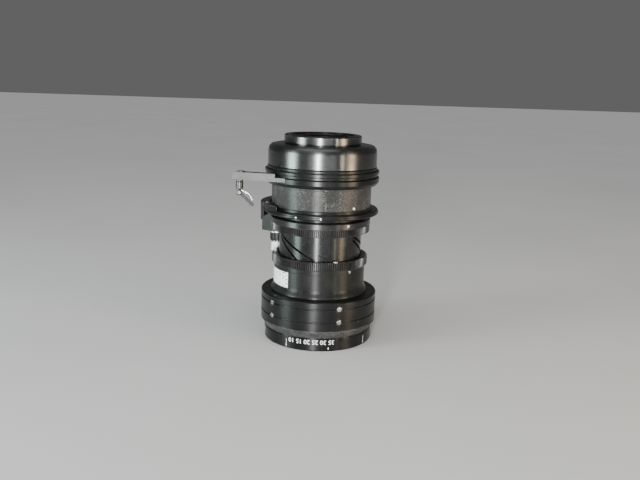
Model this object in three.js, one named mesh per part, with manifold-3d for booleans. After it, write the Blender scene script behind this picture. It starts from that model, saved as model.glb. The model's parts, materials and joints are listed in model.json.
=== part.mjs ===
// A motorised zoom lens for a projector. Millimetres, +Z up.
// The lens stands on its front rim at z = 0 with its rear end on top. Every turned piece shares the
// optical axis, which runs parallel to Z. Azimuths are in degrees round that axis: 0 is the front of
// the lens (-Y), 90 its right side (+X).
import * as THREE from "three";
import { mergeVertices } from "three/addons/utils/BufferGeometryUtils.js";
import Module from "manifold-3d";

const wasm = await Module();
wasm.setup();

// ---- Driving dimensions ----

// Half sizes of the footprint round the optical axis. The origin is the middle of the footprint.
const FOOTPRINT = { left: 84.6, right: 57.5, front: 57.5, back: 67 };
const AXIS_X = (FOOTPRINT.left - FOOTPRINT.right) / 2;
const AXIS_Y = (FOOTPRINT.front - FOOTPRINT.back) / 2;

const FACETS = 28; // facets of the outer turned pieces
const INNER_FACETS = 16; // facets of the cells, glasses and small round pieces
const GAP = 0.3; // left between two pieces that touch
const TOP_Z = 202.2; // rear end of the lens

// Heights at which one outer piece gives way to the next, from the front rim to the rear end.
const LEVEL = {
  taper: 13.2,
  frontBarrel: 20.9,
  lowerBarrel: 49.3,
  focusGear: 76.8,
  focusGearTop: 85.1,
  zoomGear: 109.4,
  zoomTeethTop: 116.8,
  zoomBandTop: 122.5,
  neck: 123.2,
  driveFlange: 127.2,
  driveFlangeTop: 131.7,
  armRing: 155.4,
  armRingTop: 163.5,
  mountingFlange: 163.9,
  seatFace: 169.8,
  shroud: 173.1,
  shroudTop: 193.5,
};

// Outer radii of the same pieces.
const RADIUS = {
  frontRing: 53.8,
  frontBarrel: 57.5,
  foot: 48.1,
  lowerBarrel: 45.2,
  cam: 40.7,
  neck: 44,
  driveFlange: 56.5,
  rearBarrel: 48.8,
  armRing: 55.8,
  mountingFlange: 55.7,
  spigot: 53.5,
  shroud: 53,
  rearRing: 37.6,
};

// Gears, all of one module. A ring and its pinion share the pitch line at the centre distance.
const MODULE = 0.6;
const FOCUS_TEETH = 156;
const ZOOM_TEETH = 160;
const FOCUS_PINION_TEETH = 33;
const ZOOM_PINION_TEETH = 20;
const pitchRadius = (teeth) => (MODULE * teeth) / 2;
const FOCUS_CENTRES = pitchRadius(FOCUS_TEETH) + pitchRadius(FOCUS_PINION_TEETH);
const ZOOM_CENTRES = pitchRadius(ZOOM_TEETH) + pitchRadius(ZOOM_PINION_TEETH);
const ZOOM_DRIVE_AZIMUTH = -124.5;
const FOCUS_DRIVE_AZIMUTH = 180;

// Zoom mechanism: follower pins ride in straight slots of the guide tube and in helical slots of
// the cam barrel. Leads are the rise in mm for each radian that the cam barrel turns.
const ZOOM_TURN = 60;
const FOLLOWER_AZIMUTHS = [-8, 112, 232];
const PIN_RADIUS = 0.8;
const SLOT_HALF_WIDTH = PIN_RADIUS + GAP;
const VARIATOR = { name: "variator", pinZ: 86, lead: 20, cellZ: 84.5, cellTop: 100 };
const COMPENSATOR = { name: "compensator", pinZ: 72, lead: 30, cellZ: 58.6, cellTop: 73.5 };
const GUIDE = { inner: 34.8, outer: 37.6, base: 51, seat: 131.3 };
const CAM = { inner: 38.1, base: 57.9, top: 130.7 };
const CELL_RADIUS = 34.4;

// The rings and flanges at the rear end all sit on the rear barrel.
const REAR_BORE = 45.3;
const ON_REAR_BARREL = RADIUS.rearBarrel + GAP;

// ---- Geometry helpers ----

const radians = THREE.MathUtils.degToRad;
const circlePoint = (r, azimuth, z = 0) =>
  new THREE.Vector3(r * Math.sin(radians(azimuth)), -r * Math.cos(radians(azimuth)), z);

// A body of revolution round Z from [radius, z] points that run counter-clockwise in (radius, z).
function turned(points, facets = FACETS) {
  const outline = points.map(([r, z]) => new THREE.Vector2(r, z));
  return new THREE.LatheGeometry(outline, facets).rotateX(Math.PI / 2);
}

// A closed ring section, turned.
const turnedRing = (points, facets) => turned([...points, points[0]], facets);

// A plain tube or disc with a hole.
const tube = (inner, outer, z0, z1, facets) =>
  turnedRing([[inner, z0], [outer, z0], [outer, z1], [inner, z1]], facets);

// A plain round bar along Z.
const bar = (r, z0, z1, facets = INNER_FACETS) =>
  turned([[0, z0], [r, z0], [r, z1], [0, z1]], facets);

// A round bar lying along a radius of the lens, from radius r0 to r1.
function radialBar(r, r0, r1, azimuth, z, facets = 12) {
  const geometry = bar(r, r0, r1, facets).rotateX(Math.PI / 2);
  return geometry.rotateZ(radians(azimuth)).translate(0, 0, z);
}

const box = (x0, x1, y0, y1, z0, z1) =>
  new THREE.BoxGeometry(x1 - x0, y1 - y0, z1 - z0)
    .translate((x0 + x1) / 2, (y0 + y1) / 2, (z0 + z1) / 2);

// A flat outline in the XY plane, raised from z0 to z1.
function prism(shape, z0, z1) {
  const geometry = new THREE.ExtrudeGeometry(shape, { depth: z1 - z0, bevelEnabled: false });
  return geometry.translate(0, 0, z0);
}

// A curved block between two radii and two azimuths.
function arcBlock(inner, outer, from, to, z0, z1) {
  const steps = Math.ceil(Math.abs(to - from) / 10);
  const along = (r, back) => Array.from({ length: steps + 1 }, (_, i) => {
    const p = circlePoint(r, THREE.MathUtils.lerp(from, to, (back ? steps - i : i) / steps));
    return new THREE.Vector2(p.x, p.y);
  });
  return prism(new THREE.Shape([...along(outer, false), ...along(inner, true)]), z0, z1);
}

function solidOf(geometry) {
  const bare = geometry.index ? geometry.toNonIndexed() : geometry.clone();
  bare.deleteAttribute("normal");
  bare.deleteAttribute("uv");
  const merged = mergeVertices(bare, 1e-4);
  return new wasm.Manifold(new wasm.Mesh({
    numProp: 3,
    vertProperties: merged.attributes.position.array,
    triVerts: new Uint32Array(merged.index.array),
  }));
}

function geometryOf(solid) {
  const mesh = solid.getMesh();
  const geometry = new THREE.BufferGeometry();
  geometry.setAttribute("position", new THREE.BufferAttribute(mesh.vertProperties.slice(), 3));
  geometry.setIndex(new THREE.BufferAttribute(mesh.triVerts.slice(), 1));
  return geometry;
}

const cut = (geometry, ...tools) =>
  geometryOf(tools.reduce((solid, tool) => solid.subtract(solidOf(tool)), solidOf(geometry)));

const join = (geometry, ...others) =>
  geometryOf(others.reduce((solid, other) => solid.add(solidOf(other)), solidOf(geometry)));

// A lens element. Each surface is a shallow bowl that leaves its vertex by sag at the rim.
function glassElement({ radius, front, frontSag, back, backSag }) {
  const STEPS = 3;
  const surface = (vertex, sag, i) =>
    [(radius * i) / STEPS, vertex + sag * (i / STEPS) ** 2];
  const steps = [...Array(STEPS + 1).keys()];
  const frontFace = steps.map((i) => surface(front, frontSag, i));
  const backFace = steps.map((i) => surface(back, backSag, STEPS - i));
  return turned([...frontFace, ...backFace], INNER_FACETS);
}

// ---- Materials ----

const finish = (color, roughness, metalness) => ({ color, roughness, metalness });
const FINISH = {
  satinBlack: finish(0x1b1c1e, 0.42, 0.85),
  glossBlack: finish(0x0e0f11, 0.16, 0.9),
  toothBlack: finish(0x242528, 0.5, 0.8),
  innerBlack: finish(0x141415, 0.7, 0.6),
  silver: finish(0xb9bcbd, 0.35, 0.95),
  greyAluminium: finish(0x9fa2a4, 0.55, 0.85),
  steel: finish(0xc4c6c8, 0.28, 1),
  brass: finish(0xb08d4a, 0.35, 1),
  label: finish(0xd9d9d4, 0.7, 0),
  glass: finish(0x9fb4c4, 0.05, 0),
};

const lens = new THREE.Group();
lens.position.set(AXIS_X, AXIS_Y, 0);

// Adds one named piece with a finish of its own, to the lens or to a group inside it.
function add(name, geometry, look, parent = lens) {
  const mesh = new THREE.Mesh(geometry, new THREE.MeshStandardMaterial(look));
  mesh.name = name;
  parent.add(mesh);
}

// ---- Front group: everything that turns and advances for focus ----

const KEY_AZIMUTHS = [60, 180, 300];
const KEY = { inner: 41.9, halfWidth: 2, z0: 63, z1: 66 };
const SLEEVE = { inner: 41.2, outer: 43, base: 57.6 };
const LOWER_BORE = 43.4;

function addFrontGroup() {
  const FRONT_BORE = 47.6;
  add("front_ring", turnedRing([
    [50.8, 0], [RADIUS.frontRing - 0.6, 0], [RADIUS.frontRing, 0.6],
    [RADIUS.frontRing, LEVEL.taper - GAP], [FRONT_BORE, LEVEL.taper - GAP], [FRONT_BORE, 6.5],
  ]), FINISH.glossBlack);

  add("taper_ring", turnedRing([
    [48, LEVEL.taper], [RADIUS.frontRing + 0.1, LEVEL.taper],
    [RADIUS.frontBarrel - 0.2, LEVEL.frontBarrel - GAP], [48, LEVEL.frontBarrel - GAP],
  ]), FINISH.satinBlack);

  add("front_barrel", turnedRing([
    [52.5, LEVEL.frontBarrel], [RADIUS.frontBarrel, LEVEL.frontBarrel],
    [RADIUS.frontBarrel, 48.2], [56.7, 49], [44, 49], [44, 45.5], [52.5, 45.5],
  ]), FINISH.satinBlack);

  const keys = KEY_AZIMUTHS.map((azimuth) =>
    box(-KEY.halfWidth, KEY.halfWidth, -LOWER_BORE - 0.6, -KEY.inner, KEY.z0, KEY.z1)
      .rotateZ(radians(azimuth)));
  const SET_SCREW = { azimuth: 41, z: 74, radius: 1.3 };
  const lowerBarrel = join(turnedRing([
    [LOWER_BORE, LEVEL.lowerBarrel], [RADIUS.foot, LEVEL.lowerBarrel], [47.6, 51.8],
    [46.1, 53.4], [RADIUS.lowerBarrel, 56.4], [RADIUS.lowerBarrel, LEVEL.focusGear - GAP],
    [LOWER_BORE, LEVEL.focusGear - GAP],
  ]), ...keys);
  add("lower_barrel", cut(lowerBarrel, radialBar(
    SET_SCREW.radius + GAP, 42, 50, SET_SCREW.azimuth, SET_SCREW.z)), FINISH.glossBlack);
  add("focus_set_screw", radialBar(
    SET_SCREW.radius, LOWER_BORE + 0.1, RADIUS.lowerBarrel - 0.1, SET_SCREW.azimuth, SET_SCREW.z,
  ), FINISH.steel);

  add("front_cell", turnedRing([
    [44.4, 21.3], [52.2, 21.3], [52.2, 45.2], [38.6, 45.2], [38.6, 32.8], [44.4, 32.8],
  ]), FINISH.innerBlack);
  add("front_glass", glassElement({
    radius: 47.2, front: 3, frontSag: 7.4, back: 19, backSag: -2.5,
  }), FINISH.glass);
  add("middle_glass", glassElement({
    radius: 44, front: 23.4, frontSag: -1.8, back: 31.6, backSag: -3.4,
  }), FINISH.glass);
  add("inner_glass", glassElement({
    radius: 38.2, front: 35.2, frontSag: 2.2, back: 42.2, backSag: 2.4,
  }), FINISH.glass);
  add("front_retaining_ring", tube(44.5, FRONT_BORE - GAP, 6.8, 9.2), FINISH.innerBlack);
}

// ---- Focus ring: gear teeth above, a keyed sleeve inside the lower barrel below ----

// Outline of a gear ring: one pointed tooth for each pitch, with a gap on gapAzimuth.
function gearRingShape(teeth, inner, gapAzimuth) {
  const pitch = 360 / teeth;
  const tip = pitchRadius(teeth) + MODULE;
  const root = pitchRadius(teeth) - 1.25 * MODULE;
  const outline = [];
  for (let i = 0; i < teeth; i++) {
    outline.push(circlePoint(root, gapAzimuth + i * pitch));
    outline.push(circlePoint(tip, gapAzimuth + (i + 0.5) * pitch));
  }
  const shape = new THREE.Shape(outline.map((p) => new THREE.Vector2(p.x, p.y)));
  const hole = [...Array(FACETS).keys()].map((i) => circlePoint(inner, (i * 360) / FACETS));
  shape.holes.push(new THREE.Path(hole.map((p) => new THREE.Vector2(p.x, p.y))));
  return shape;
}

// A pinion on its own axis, with one tooth pointing along -X of its frame.
function pinionShape(teeth) {
  const root = pitchRadius(teeth) - 1.25 * MODULE;
  const tip = pitchRadius(teeth) + 0.6 * MODULE;
  const ROOT_HALF = 0.52;
  const TIP_HALF = 0.16;
  const outline = [];
  for (let i = 0; i < teeth; i++) {
    const centre = Math.PI + (i * 2 * Math.PI) / teeth;
    for (const [r, half] of [[root, -ROOT_HALF], [tip, -TIP_HALF], [tip, TIP_HALF], [root, ROOT_HALF]]) {
      const angle = centre + half / r;
      outline.push(new THREE.Vector2(r * Math.cos(angle), r * Math.sin(angle)));
    }
  }
  return new THREE.Shape(outline);
}

function addFocusRing() {
  const ring = prism(
    gearRingShape(FOCUS_TEETH, SLEEVE.inner, FOCUS_DRIVE_AZIMUTH),
    LEVEL.focusGear, LEVEL.focusGearTop);
  const sleeve = tube(SLEEVE.inner, SLEEVE.outer, SLEEVE.base, LEVEL.focusGear + 0.5);
  // The keys of the lower barrel slide down these slots as the front group advances.
  const slots = KEY_AZIMUTHS.map((azimuth) => box(
    -KEY.halfWidth - GAP, KEY.halfWidth + GAP, -SLEEVE.outer - 2, -SLEEVE.inner + 1,
    SLEEVE.base - 1, KEY.z1 + GAP + 0.2,
  ).rotateZ(radians(azimuth)));
  add("focus_gear_ring", cut(join(ring, sleeve), ...slots), FINISH.toothBlack);
}

// ---- Zoom barrel ----

const ZOOM_BAND = 49; // wide enough for its flat facets to cover the tips of the teeth
const ZOOM_SCREW = { azimuths: [33, 153, 273], z: 119.7, radius: 1.5 };

// A radial cutter for a helical slot in the cam barrel, from the pin at rest to its far end.
function camSlot({ pinZ, lead }, azimuth) {
  const STEPS = 6;
  const reach = radians(ZOOM_TURN);
  const length = Math.hypot(RADIUS.cam, lead);
  const across = new THREE.Vector2(lead, RADIUS.cam).multiplyScalar(SLOT_HALF_WIDTH / length);
  const end = SLOT_HALF_WIDTH / length;
  const edge = (side, back) => Array.from({ length: STEPS + 1 }, (_, i) => {
    const turn = THREE.MathUtils.lerp(-end, reach + end, (back ? STEPS - i : i) / STEPS);
    return new THREE.Vector2(
      -RADIUS.cam * turn + side * across.x, pinZ + lead * turn + side * across.y);
  });
  // The outline is drawn flat, as arc length against height, raised, and then wrapped round Z. Its
  // outer end stands well off the barrel, so that the chords of its flat faces stay outside.
  const outline = new THREE.Shape([...edge(1, false), ...edge(-1, true)]);
  const flat = prism(outline, CAM.inner - 1, RADIUS.cam * 1.5);
  const wrapped = flat.getAttribute("position");
  for (let i = 0; i < wrapped.count; i++) {
    const turn = THREE.MathUtils.radToDeg(wrapped.getX(i) / RADIUS.cam);
    const p = circlePoint(wrapped.getZ(i), azimuth + turn, wrapped.getY(i));
    wrapped.setXYZ(i, p.x, p.y, p.z);
  }
  return flat;
}

function addZoomBarrel() {
  const slots = [VARIATOR, COMPENSATOR].flatMap((group) =>
    FOLLOWER_AZIMUTHS.map((azimuth) => camSlot(group, azimuth)));
  add("cam_barrel", cut(tube(CAM.inner, RADIUS.cam, CAM.base, CAM.top), ...slots), FINISH.glossBlack);

  const inner = RADIUS.cam + GAP;
  const teeth = prism(
    gearRingShape(ZOOM_TEETH, inner, ZOOM_DRIVE_AZIMUTH), LEVEL.zoomGear, LEVEL.zoomTeethTop);
  const band = tube(inner, ZOOM_BAND, LEVEL.zoomTeethTop - 0.2, LEVEL.zoomBandTop);
  const holes = ZOOM_SCREW.azimuths.map((azimuth) =>
    radialBar(ZOOM_SCREW.radius + GAP, 40, 50, azimuth, ZOOM_SCREW.z));
  add("zoom_gear_ring", cut(join(teeth, band), ...holes), FINISH.toothBlack);
  ZOOM_SCREW.azimuths.forEach((azimuth, i) => add(
    `zoom_ring_screw_${i + 1}`,
    radialBar(ZOOM_SCREW.radius, inner + 0.1, ZOOM_BAND - 0.5, azimuth, ZOOM_SCREW.z),
    FINISH.steel));
}

// ---- The two sliding glass groups inside the guide tube ----

function addSlidingGroup({ name, pinZ, cellZ, cellTop }, glass) {
  const SEAT = 30.4;
  const holes = FOLLOWER_AZIMUTHS.map((azimuth) =>
    radialBar(SLOT_HALF_WIDTH, SEAT + 0.9, 36, azimuth, pinZ, 8));
  add(`${name}_cell`, cut(tube(SEAT, CELL_RADIUS, cellZ, cellTop, INNER_FACETS), ...holes),
    FINISH.innerBlack);
  add(`${name}_glass`, glassElement(glass), FINISH.glass);
  add(`${name}_retaining_ring`, tube(27.6, SEAT - GAP, cellTop - 2, cellTop, INNER_FACETS),
    FINISH.innerBlack);
  FOLLOWER_AZIMUTHS.forEach((azimuth, i) => add(
    `${name}_pin_${i + 1}`,
    radialBar(PIN_RADIUS, SEAT + 1.2, RADIUS.cam - GAP, azimuth, pinZ, 8), FINISH.brass));
}

// ---- Fixed housing ----

function addHousing() {
  add("helicoid_ring", tube(GUIDE.outer + GAP, SLEEVE.outer, 50.5, CAM.base - 0.7), FINISH.brass);

  const guideSlots = FOLLOWER_AZIMUTHS.map((azimuth) => box(
    -SLOT_HALF_WIDTH, SLOT_HALF_WIDTH, -GUIDE.outer - 2, -GUIDE.inner + 2,
    COMPENSATOR.pinZ - 2, VARIATOR.pinZ + VARIATOR.lead * radians(ZOOM_TURN) + 2,
  ).rotateZ(radians(azimuth)));
  add("guide_tube", cut(turnedRing([
    [GUIDE.inner, GUIDE.base], [GUIDE.outer, GUIDE.base], [GUIDE.outer, GUIDE.seat],
    [REAR_BORE - GAP, GUIDE.seat], [REAR_BORE - GAP, GUIDE.seat + 3],
    [GUIDE.inner, GUIDE.seat + 3],
  ]), ...guideSlots), FINISH.innerBlack);

  add("rear_barrel",
    tube(REAR_BORE, RADIUS.rearBarrel, LEVEL.driveFlangeTop - 0.4, LEVEL.shroud - 0.7),
    FINISH.satinBlack);
  // The seat face, which bears on the projector, is the shoulder round the flange's short spigot.
  const RECESS = { radius: 54, top: 166.2 };
  add("mounting_flange", turnedRing([
    [ON_REAR_BARREL, LEVEL.mountingFlange], [RECESS.radius, LEVEL.mountingFlange],
    [RECESS.radius, RECESS.top], [RADIUS.mountingFlange, RECESS.top + GAP],
    [RADIUS.mountingFlange, LEVEL.seatFace], [RADIUS.spigot, LEVEL.seatFace],
    [RADIUS.spigot, LEVEL.shroud - GAP], [ON_REAR_BARREL, LEVEL.shroud - GAP],
  ]), FINISH.satinBlack);

  const CROWN = 9.5;
  const WALL = 2.6;
  const crown = (r) => [0, 1, 2, 3].map((i) => [
    RADIUS.shroud - CROWN + r * Math.cos((i * Math.PI) / 6),
    LEVEL.shroudTop - CROWN + r * Math.sin((i * Math.PI) / 6),
  ]);
  const SHROUD_HOLE = 33.6;
  add("rear_shroud", turnedRing([
    [RADIUS.shroud, LEVEL.shroud], ...crown(CROWN), [SHROUD_HOLE, LEVEL.shroudTop],
    [SHROUD_HOLE, LEVEL.shroudTop - WALL], ...crown(CROWN - WALL).reverse(),
    [RADIUS.shroud - WALL, LEVEL.shroud],
  ]), FINISH.glossBlack);

  const CELL = { bore: 30, radius: 33.2, base: 150, flange: 168, flangeTop: 172 };
  const CHAMFER = 0.8;
  add("rear_ring", turnedRing([
    [CELL.bore, LEVEL.shroudTop + GAP], [RADIUS.rearRing, LEVEL.shroudTop + GAP],
    [RADIUS.rearRing, TOP_Z - CHAMFER], [RADIUS.rearRing - CHAMFER, TOP_Z], [CELL.bore, TOP_Z],
  ]), FINISH.silver);
  add("rear_cell", turnedRing([
    [CELL.bore, CELL.base], [CELL.radius, CELL.base], [CELL.radius, CELL.flange],
    [REAR_BORE - GAP, CELL.flange], [REAR_BORE - GAP, CELL.flangeTop],
    [CELL.radius, CELL.flangeTop], [CELL.radius, LEVEL.shroudTop], [CELL.bore, LEVEL.shroudTop],
  ], INNER_FACETS), FINISH.innerBlack);
  const SEATED = CELL.bore - 0.4;
  add("rear_glass", glassElement({
    radius: SEATED, front: 188, frontSag: 3.5, back: 200, backSag: -3.5,
  }), FINISH.glass);
  add("relay_glass", glassElement({
    radius: SEATED, front: 156, frontSag: 2, back: 165, backSag: -2.5,
  }), FINISH.glass);
  add("rear_retaining_ring", tube(27.5, CELL.bore - GAP, 197.4, 199.4, INNER_FACETS),
    FINISH.innerBlack);
  add("aperture_stop",
    tube(18, CELL.bore - GAP, CELL.base + 1, CELL.base + 2.5, INNER_FACETS), FINISH.innerBlack);
}

// ---- Drive units: each has a motor, its gearbox, a housing on the drive flange and a pinion ----

// A frame whose +X points out from the optical axis at an azimuth.
function driveFrame(azimuth) {
  const frame = new THREE.Group();
  frame.rotation.z = radians(azimuth - 90);
  lens.add(frame);
  return frame;
}

const PINION_SHAFT = 1.5;
const GEARBOX = { radius: 7.5, collar: 9 };
const MOTOR = { radius: 6, boss: 2.5, bossBase: 76.8, base: 78 };
const CLEAR_OF_RINGS = 49.8; // inner radius of the drive housings
const CAP_SCREW = { head: 2.8, shank: 1.5, headHeight: 3 };
const PAD = { inner: 51, outer: 57.2, endX: -41.5, wall: 59.5, z0: LEVEL.driveFlangeTop + GAP, z1: 136 };
const ZOOM_HOUSING_SCREWS = { azimuths: [-78, -138], circle: 54 };
const FOCUS_BLOCK = { reach: 66, half: 12, screw: 62 };
const ZOOM_BLOCK = { reach: 64, half: 13, base: 101 };
const BLOCK_INNER = 44;
const BLOCK_TOP = LEVEL.driveFlange - GAP;

const capScrew = (z0, z1) => turned([
  [0, z0], [CAP_SCREW.shank, z0], [CAP_SCREW.shank, z1 - CAP_SCREW.headHeight],
  [CAP_SCREW.head, z1 - CAP_SCREW.headHeight], [CAP_SCREW.head, z1], [0, z1],
], 12);

const screwHole = (z0, z1, headZ) => turned([
  [0, z0], [CAP_SCREW.shank + GAP, z0], [CAP_SCREW.shank + GAP, headZ],
  [CAP_SCREW.head + GAP, headZ], [CAP_SCREW.head + GAP, z1], [0, z1],
], 12);

function placed(geometry, r, azimuth) {
  const p = circlePoint(r, azimuth);
  return geometry.translate(p.x, p.y, 0);
}

function addDriveFlange() {
  const CAM_CLEARANCE = RADIUS.cam + 0.5;
  const COLLAR = { radius: PAD.inner - 0.4, top: 134.2, seat: LEVEL.driveFlangeTop - 0.7 };
  const disc = turnedRing([
    [CAM_CLEARANCE, LEVEL.neck], [RADIUS.neck, LEVEL.neck], [RADIUS.neck, LEVEL.driveFlange],
    [RADIUS.driveFlange, LEVEL.driveFlange],
    [RADIUS.driveFlange, LEVEL.driveFlangeTop - 1], [RADIUS.driveFlange - 1, LEVEL.driveFlangeTop],
    [COLLAR.radius, LEVEL.driveFlangeTop], [COLLAR.radius, COLLAR.top],
    [ON_REAR_BARREL, COLLAR.top], [ON_REAR_BARREL, COLLAR.seat], [CAM_CLEARANCE, COLLAR.seat],
  ]);
  const lug = box(-FOCUS_BLOCK.half, FOCUS_BLOCK.half, PAD.inner, FOCUS_BLOCK.reach,
    LEVEL.driveFlange, LEVEL.driveFlangeTop);
  const holes = ZOOM_HOUSING_SCREWS.azimuths.map((azimuth) => placed(
    screwHole(LEVEL.driveFlange + 1, LEVEL.driveFlangeTop + 1, LEVEL.driveFlangeTop + 0.9),
    ZOOM_HOUSING_SCREWS.circle, azimuth));
  const lugHole = bar(
    CAP_SCREW.shank + GAP, LEVEL.driveFlange - 1, LEVEL.driveFlangeTop + 1, 12,
  ).translate(0, FOCUS_BLOCK.screw, 0);
  add("drive_flange", cut(join(disc, lug), ...holes, lugHole), FINISH.satinBlack);
}

function addZoomDrive() {
  const frame = driveFrame(ZOOM_DRIVE_AZIMUTH);
  const at = (geometry) => geometry.translate(ZOOM_CENTRES, 0, 0);
  const onAxis = (geometry) => placed(geometry, ZOOM_CENTRES, ZOOM_DRIVE_AZIMUTH);
  const BASE = ZOOM_BLOCK.base;
  const POCKET = { radius: 7.4, z0: 107.5, z1: 118.5 };
  const SHAFT_TOP = 121.2;

  // The housing hangs below the drive flange. Its outer wall climbs past the flange's rim and ends
  // in a curved pad that is screwed down on top of the flange.
  const block = box(BLOCK_INNER, ZOOM_BLOCK.reach, -ZOOM_BLOCK.half, ZOOM_BLOCK.half,
    BASE, BLOCK_TOP).rotateZ(radians(ZOOM_DRIVE_AZIMUTH - 90));
  const wall = arcBlock(PAD.outer - 0.4, PAD.wall, -78, -150, 119, PAD.z1);
  const pad = cut(arcBlock(PAD.inner, PAD.outer, -40, -150, PAD.z0, PAD.z1),
    box(PAD.endX, 0, -60, 0, PAD.z0 - 1, PAD.z1 + 1));
  const pocket = onAxis(bar(POCKET.radius, POCKET.z0, POCKET.z1));
  const bore = onAxis(bar(PINION_SHAFT + 0.4, BASE - 1, SHAFT_TOP + 0.4, 12));
  const holes = ZOOM_HOUSING_SCREWS.azimuths.map((azimuth) => placed(
    screwHole(PAD.z0 - 1, PAD.z1 + 1, PAD.z1 - CAP_SCREW.headHeight - GAP),
    ZOOM_HOUSING_SCREWS.circle, azimuth));
  add("zoom_gear_housing", cut(
    join(cut(block, bar(CLEAR_OF_RINGS, BASE - 1, BLOCK_TOP + 1, FACETS)), wall, pad),
    pocket, bore, ...holes), FINISH.satinBlack);
  ZOOM_HOUSING_SCREWS.azimuths.forEach((azimuth, i) => add(
    `zoom_housing_screw_${i + 1}`, placed(
      capScrew(LEVEL.driveFlange + 1.5, PAD.z1 - 0.1), ZOOM_HOUSING_SCREWS.circle, azimuth),
    FINISH.steel));

  const COLLAR_TOP = BASE - GAP;
  const COLLAR_BASE = BASE - 2.4;
  const GEARBOX_BASE = 90;
  add("zoom_gearbox", at(turned([
    [0, GEARBOX_BASE], [GEARBOX.radius, GEARBOX_BASE], [GEARBOX.radius, COLLAR_BASE],
    [GEARBOX.collar, COLLAR_BASE], [GEARBOX.collar, COLLAR_TOP], [0, COLLAR_TOP],
  ])), FINISH.steel, frame);
  add("zoom_motor", at(turned([
    [0, MOTOR.bossBase], [MOTOR.boss, MOTOR.bossBase], [MOTOR.boss, MOTOR.base],
    [MOTOR.radius, MOTOR.base], [MOTOR.radius, GEARBOX_BASE - GAP], [0, GEARBOX_BASE - GAP],
  ], INNER_FACETS)), FINISH.label, frame);
  const shaft = bar(PINION_SHAFT, COLLAR_TOP + GAP, SHAFT_TOP, 12);
  const gear = prism(pinionShape(ZOOM_PINION_TEETH), LEVEL.zoomGear - 0.2, LEVEL.zoomTeethTop - 0.5);
  add("zoom_pinion", at(join(gear, shaft)), FINISH.brass, frame);
}

function addFocusDrive() {
  const frame = driveFrame(FOCUS_DRIVE_AZIMUTH);
  const at = (geometry) => geometry.translate(FOCUS_CENTRES, 0, 0);
  const onScrew = (geometry) => geometry.translate(FOCUS_BLOCK.screw, 0, 0);
  const BASE = 97;
  const GEARBOX_BASE = 86.4;
  const MOTOR_TOP = 123.5;
  const HOLE_BASE = MOTOR_TOP + 0.5;

  const block = cut(
    box(BLOCK_INNER, FOCUS_BLOCK.reach, -FOCUS_BLOCK.half, FOCUS_BLOCK.half, BASE, BLOCK_TOP),
    bar(CLEAR_OF_RINGS, BASE - 1, BLOCK_TOP + 1, FACETS),
    at(bar(MOTOR.radius + 0.4, BASE - 1, MOTOR_TOP + GAP)),
    onScrew(bar(CAP_SCREW.shank + GAP, HOLE_BASE, BLOCK_TOP + 1, 12)));
  add("focus_gear_housing", block, FINISH.satinBlack, frame);
  add("focus_housing_screw", onScrew(capScrew(
    HOLE_BASE + 0.4, LEVEL.driveFlangeTop + GAP + CAP_SCREW.headHeight)), FINISH.steel, frame);
  add("focus_motor", at(bar(MOTOR.radius, BASE, MOTOR_TOP)), FINISH.label, frame);
  add("focus_gearbox", at(turned([
    [0, GEARBOX_BASE], [GEARBOX.radius, GEARBOX_BASE], [GEARBOX.radius, BASE - GAP],
    [0, BASE - GAP],
  ])), FINISH.steel, frame);
  const shaft = bar(PINION_SHAFT, LEVEL.focusGear + 1, GEARBOX_BASE - GAP, 12);
  const gear = prism(pinionShape(FOCUS_PINION_TEETH), LEVEL.focusGear + 0.1, LEVEL.focusGearTop - 0.1);
  add("focus_pinion", at(join(gear, shaft)), FINISH.brass, frame);
}

// ---- Lock arm: a bar on the arm ring, with a post that carries the lock lever ----

const ARM = {
  rootX: -33.6, rootY: -40.3, turn: -12.4, length: 52.2, depth: 9, base: 159.4, top: 166.7,
  tongue: 10.6, tongueTop: 163.2,
};
const POST = { x: -77.8, y: -26, radius: 3.4, base: 150.3 };
const PIVOT = { z: 147, radius: 1.1, eye: 2.8 };
const LEVER = { length: 18.3, width: 2.8, thickness: 1.6, slope: -42.6 };

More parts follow.
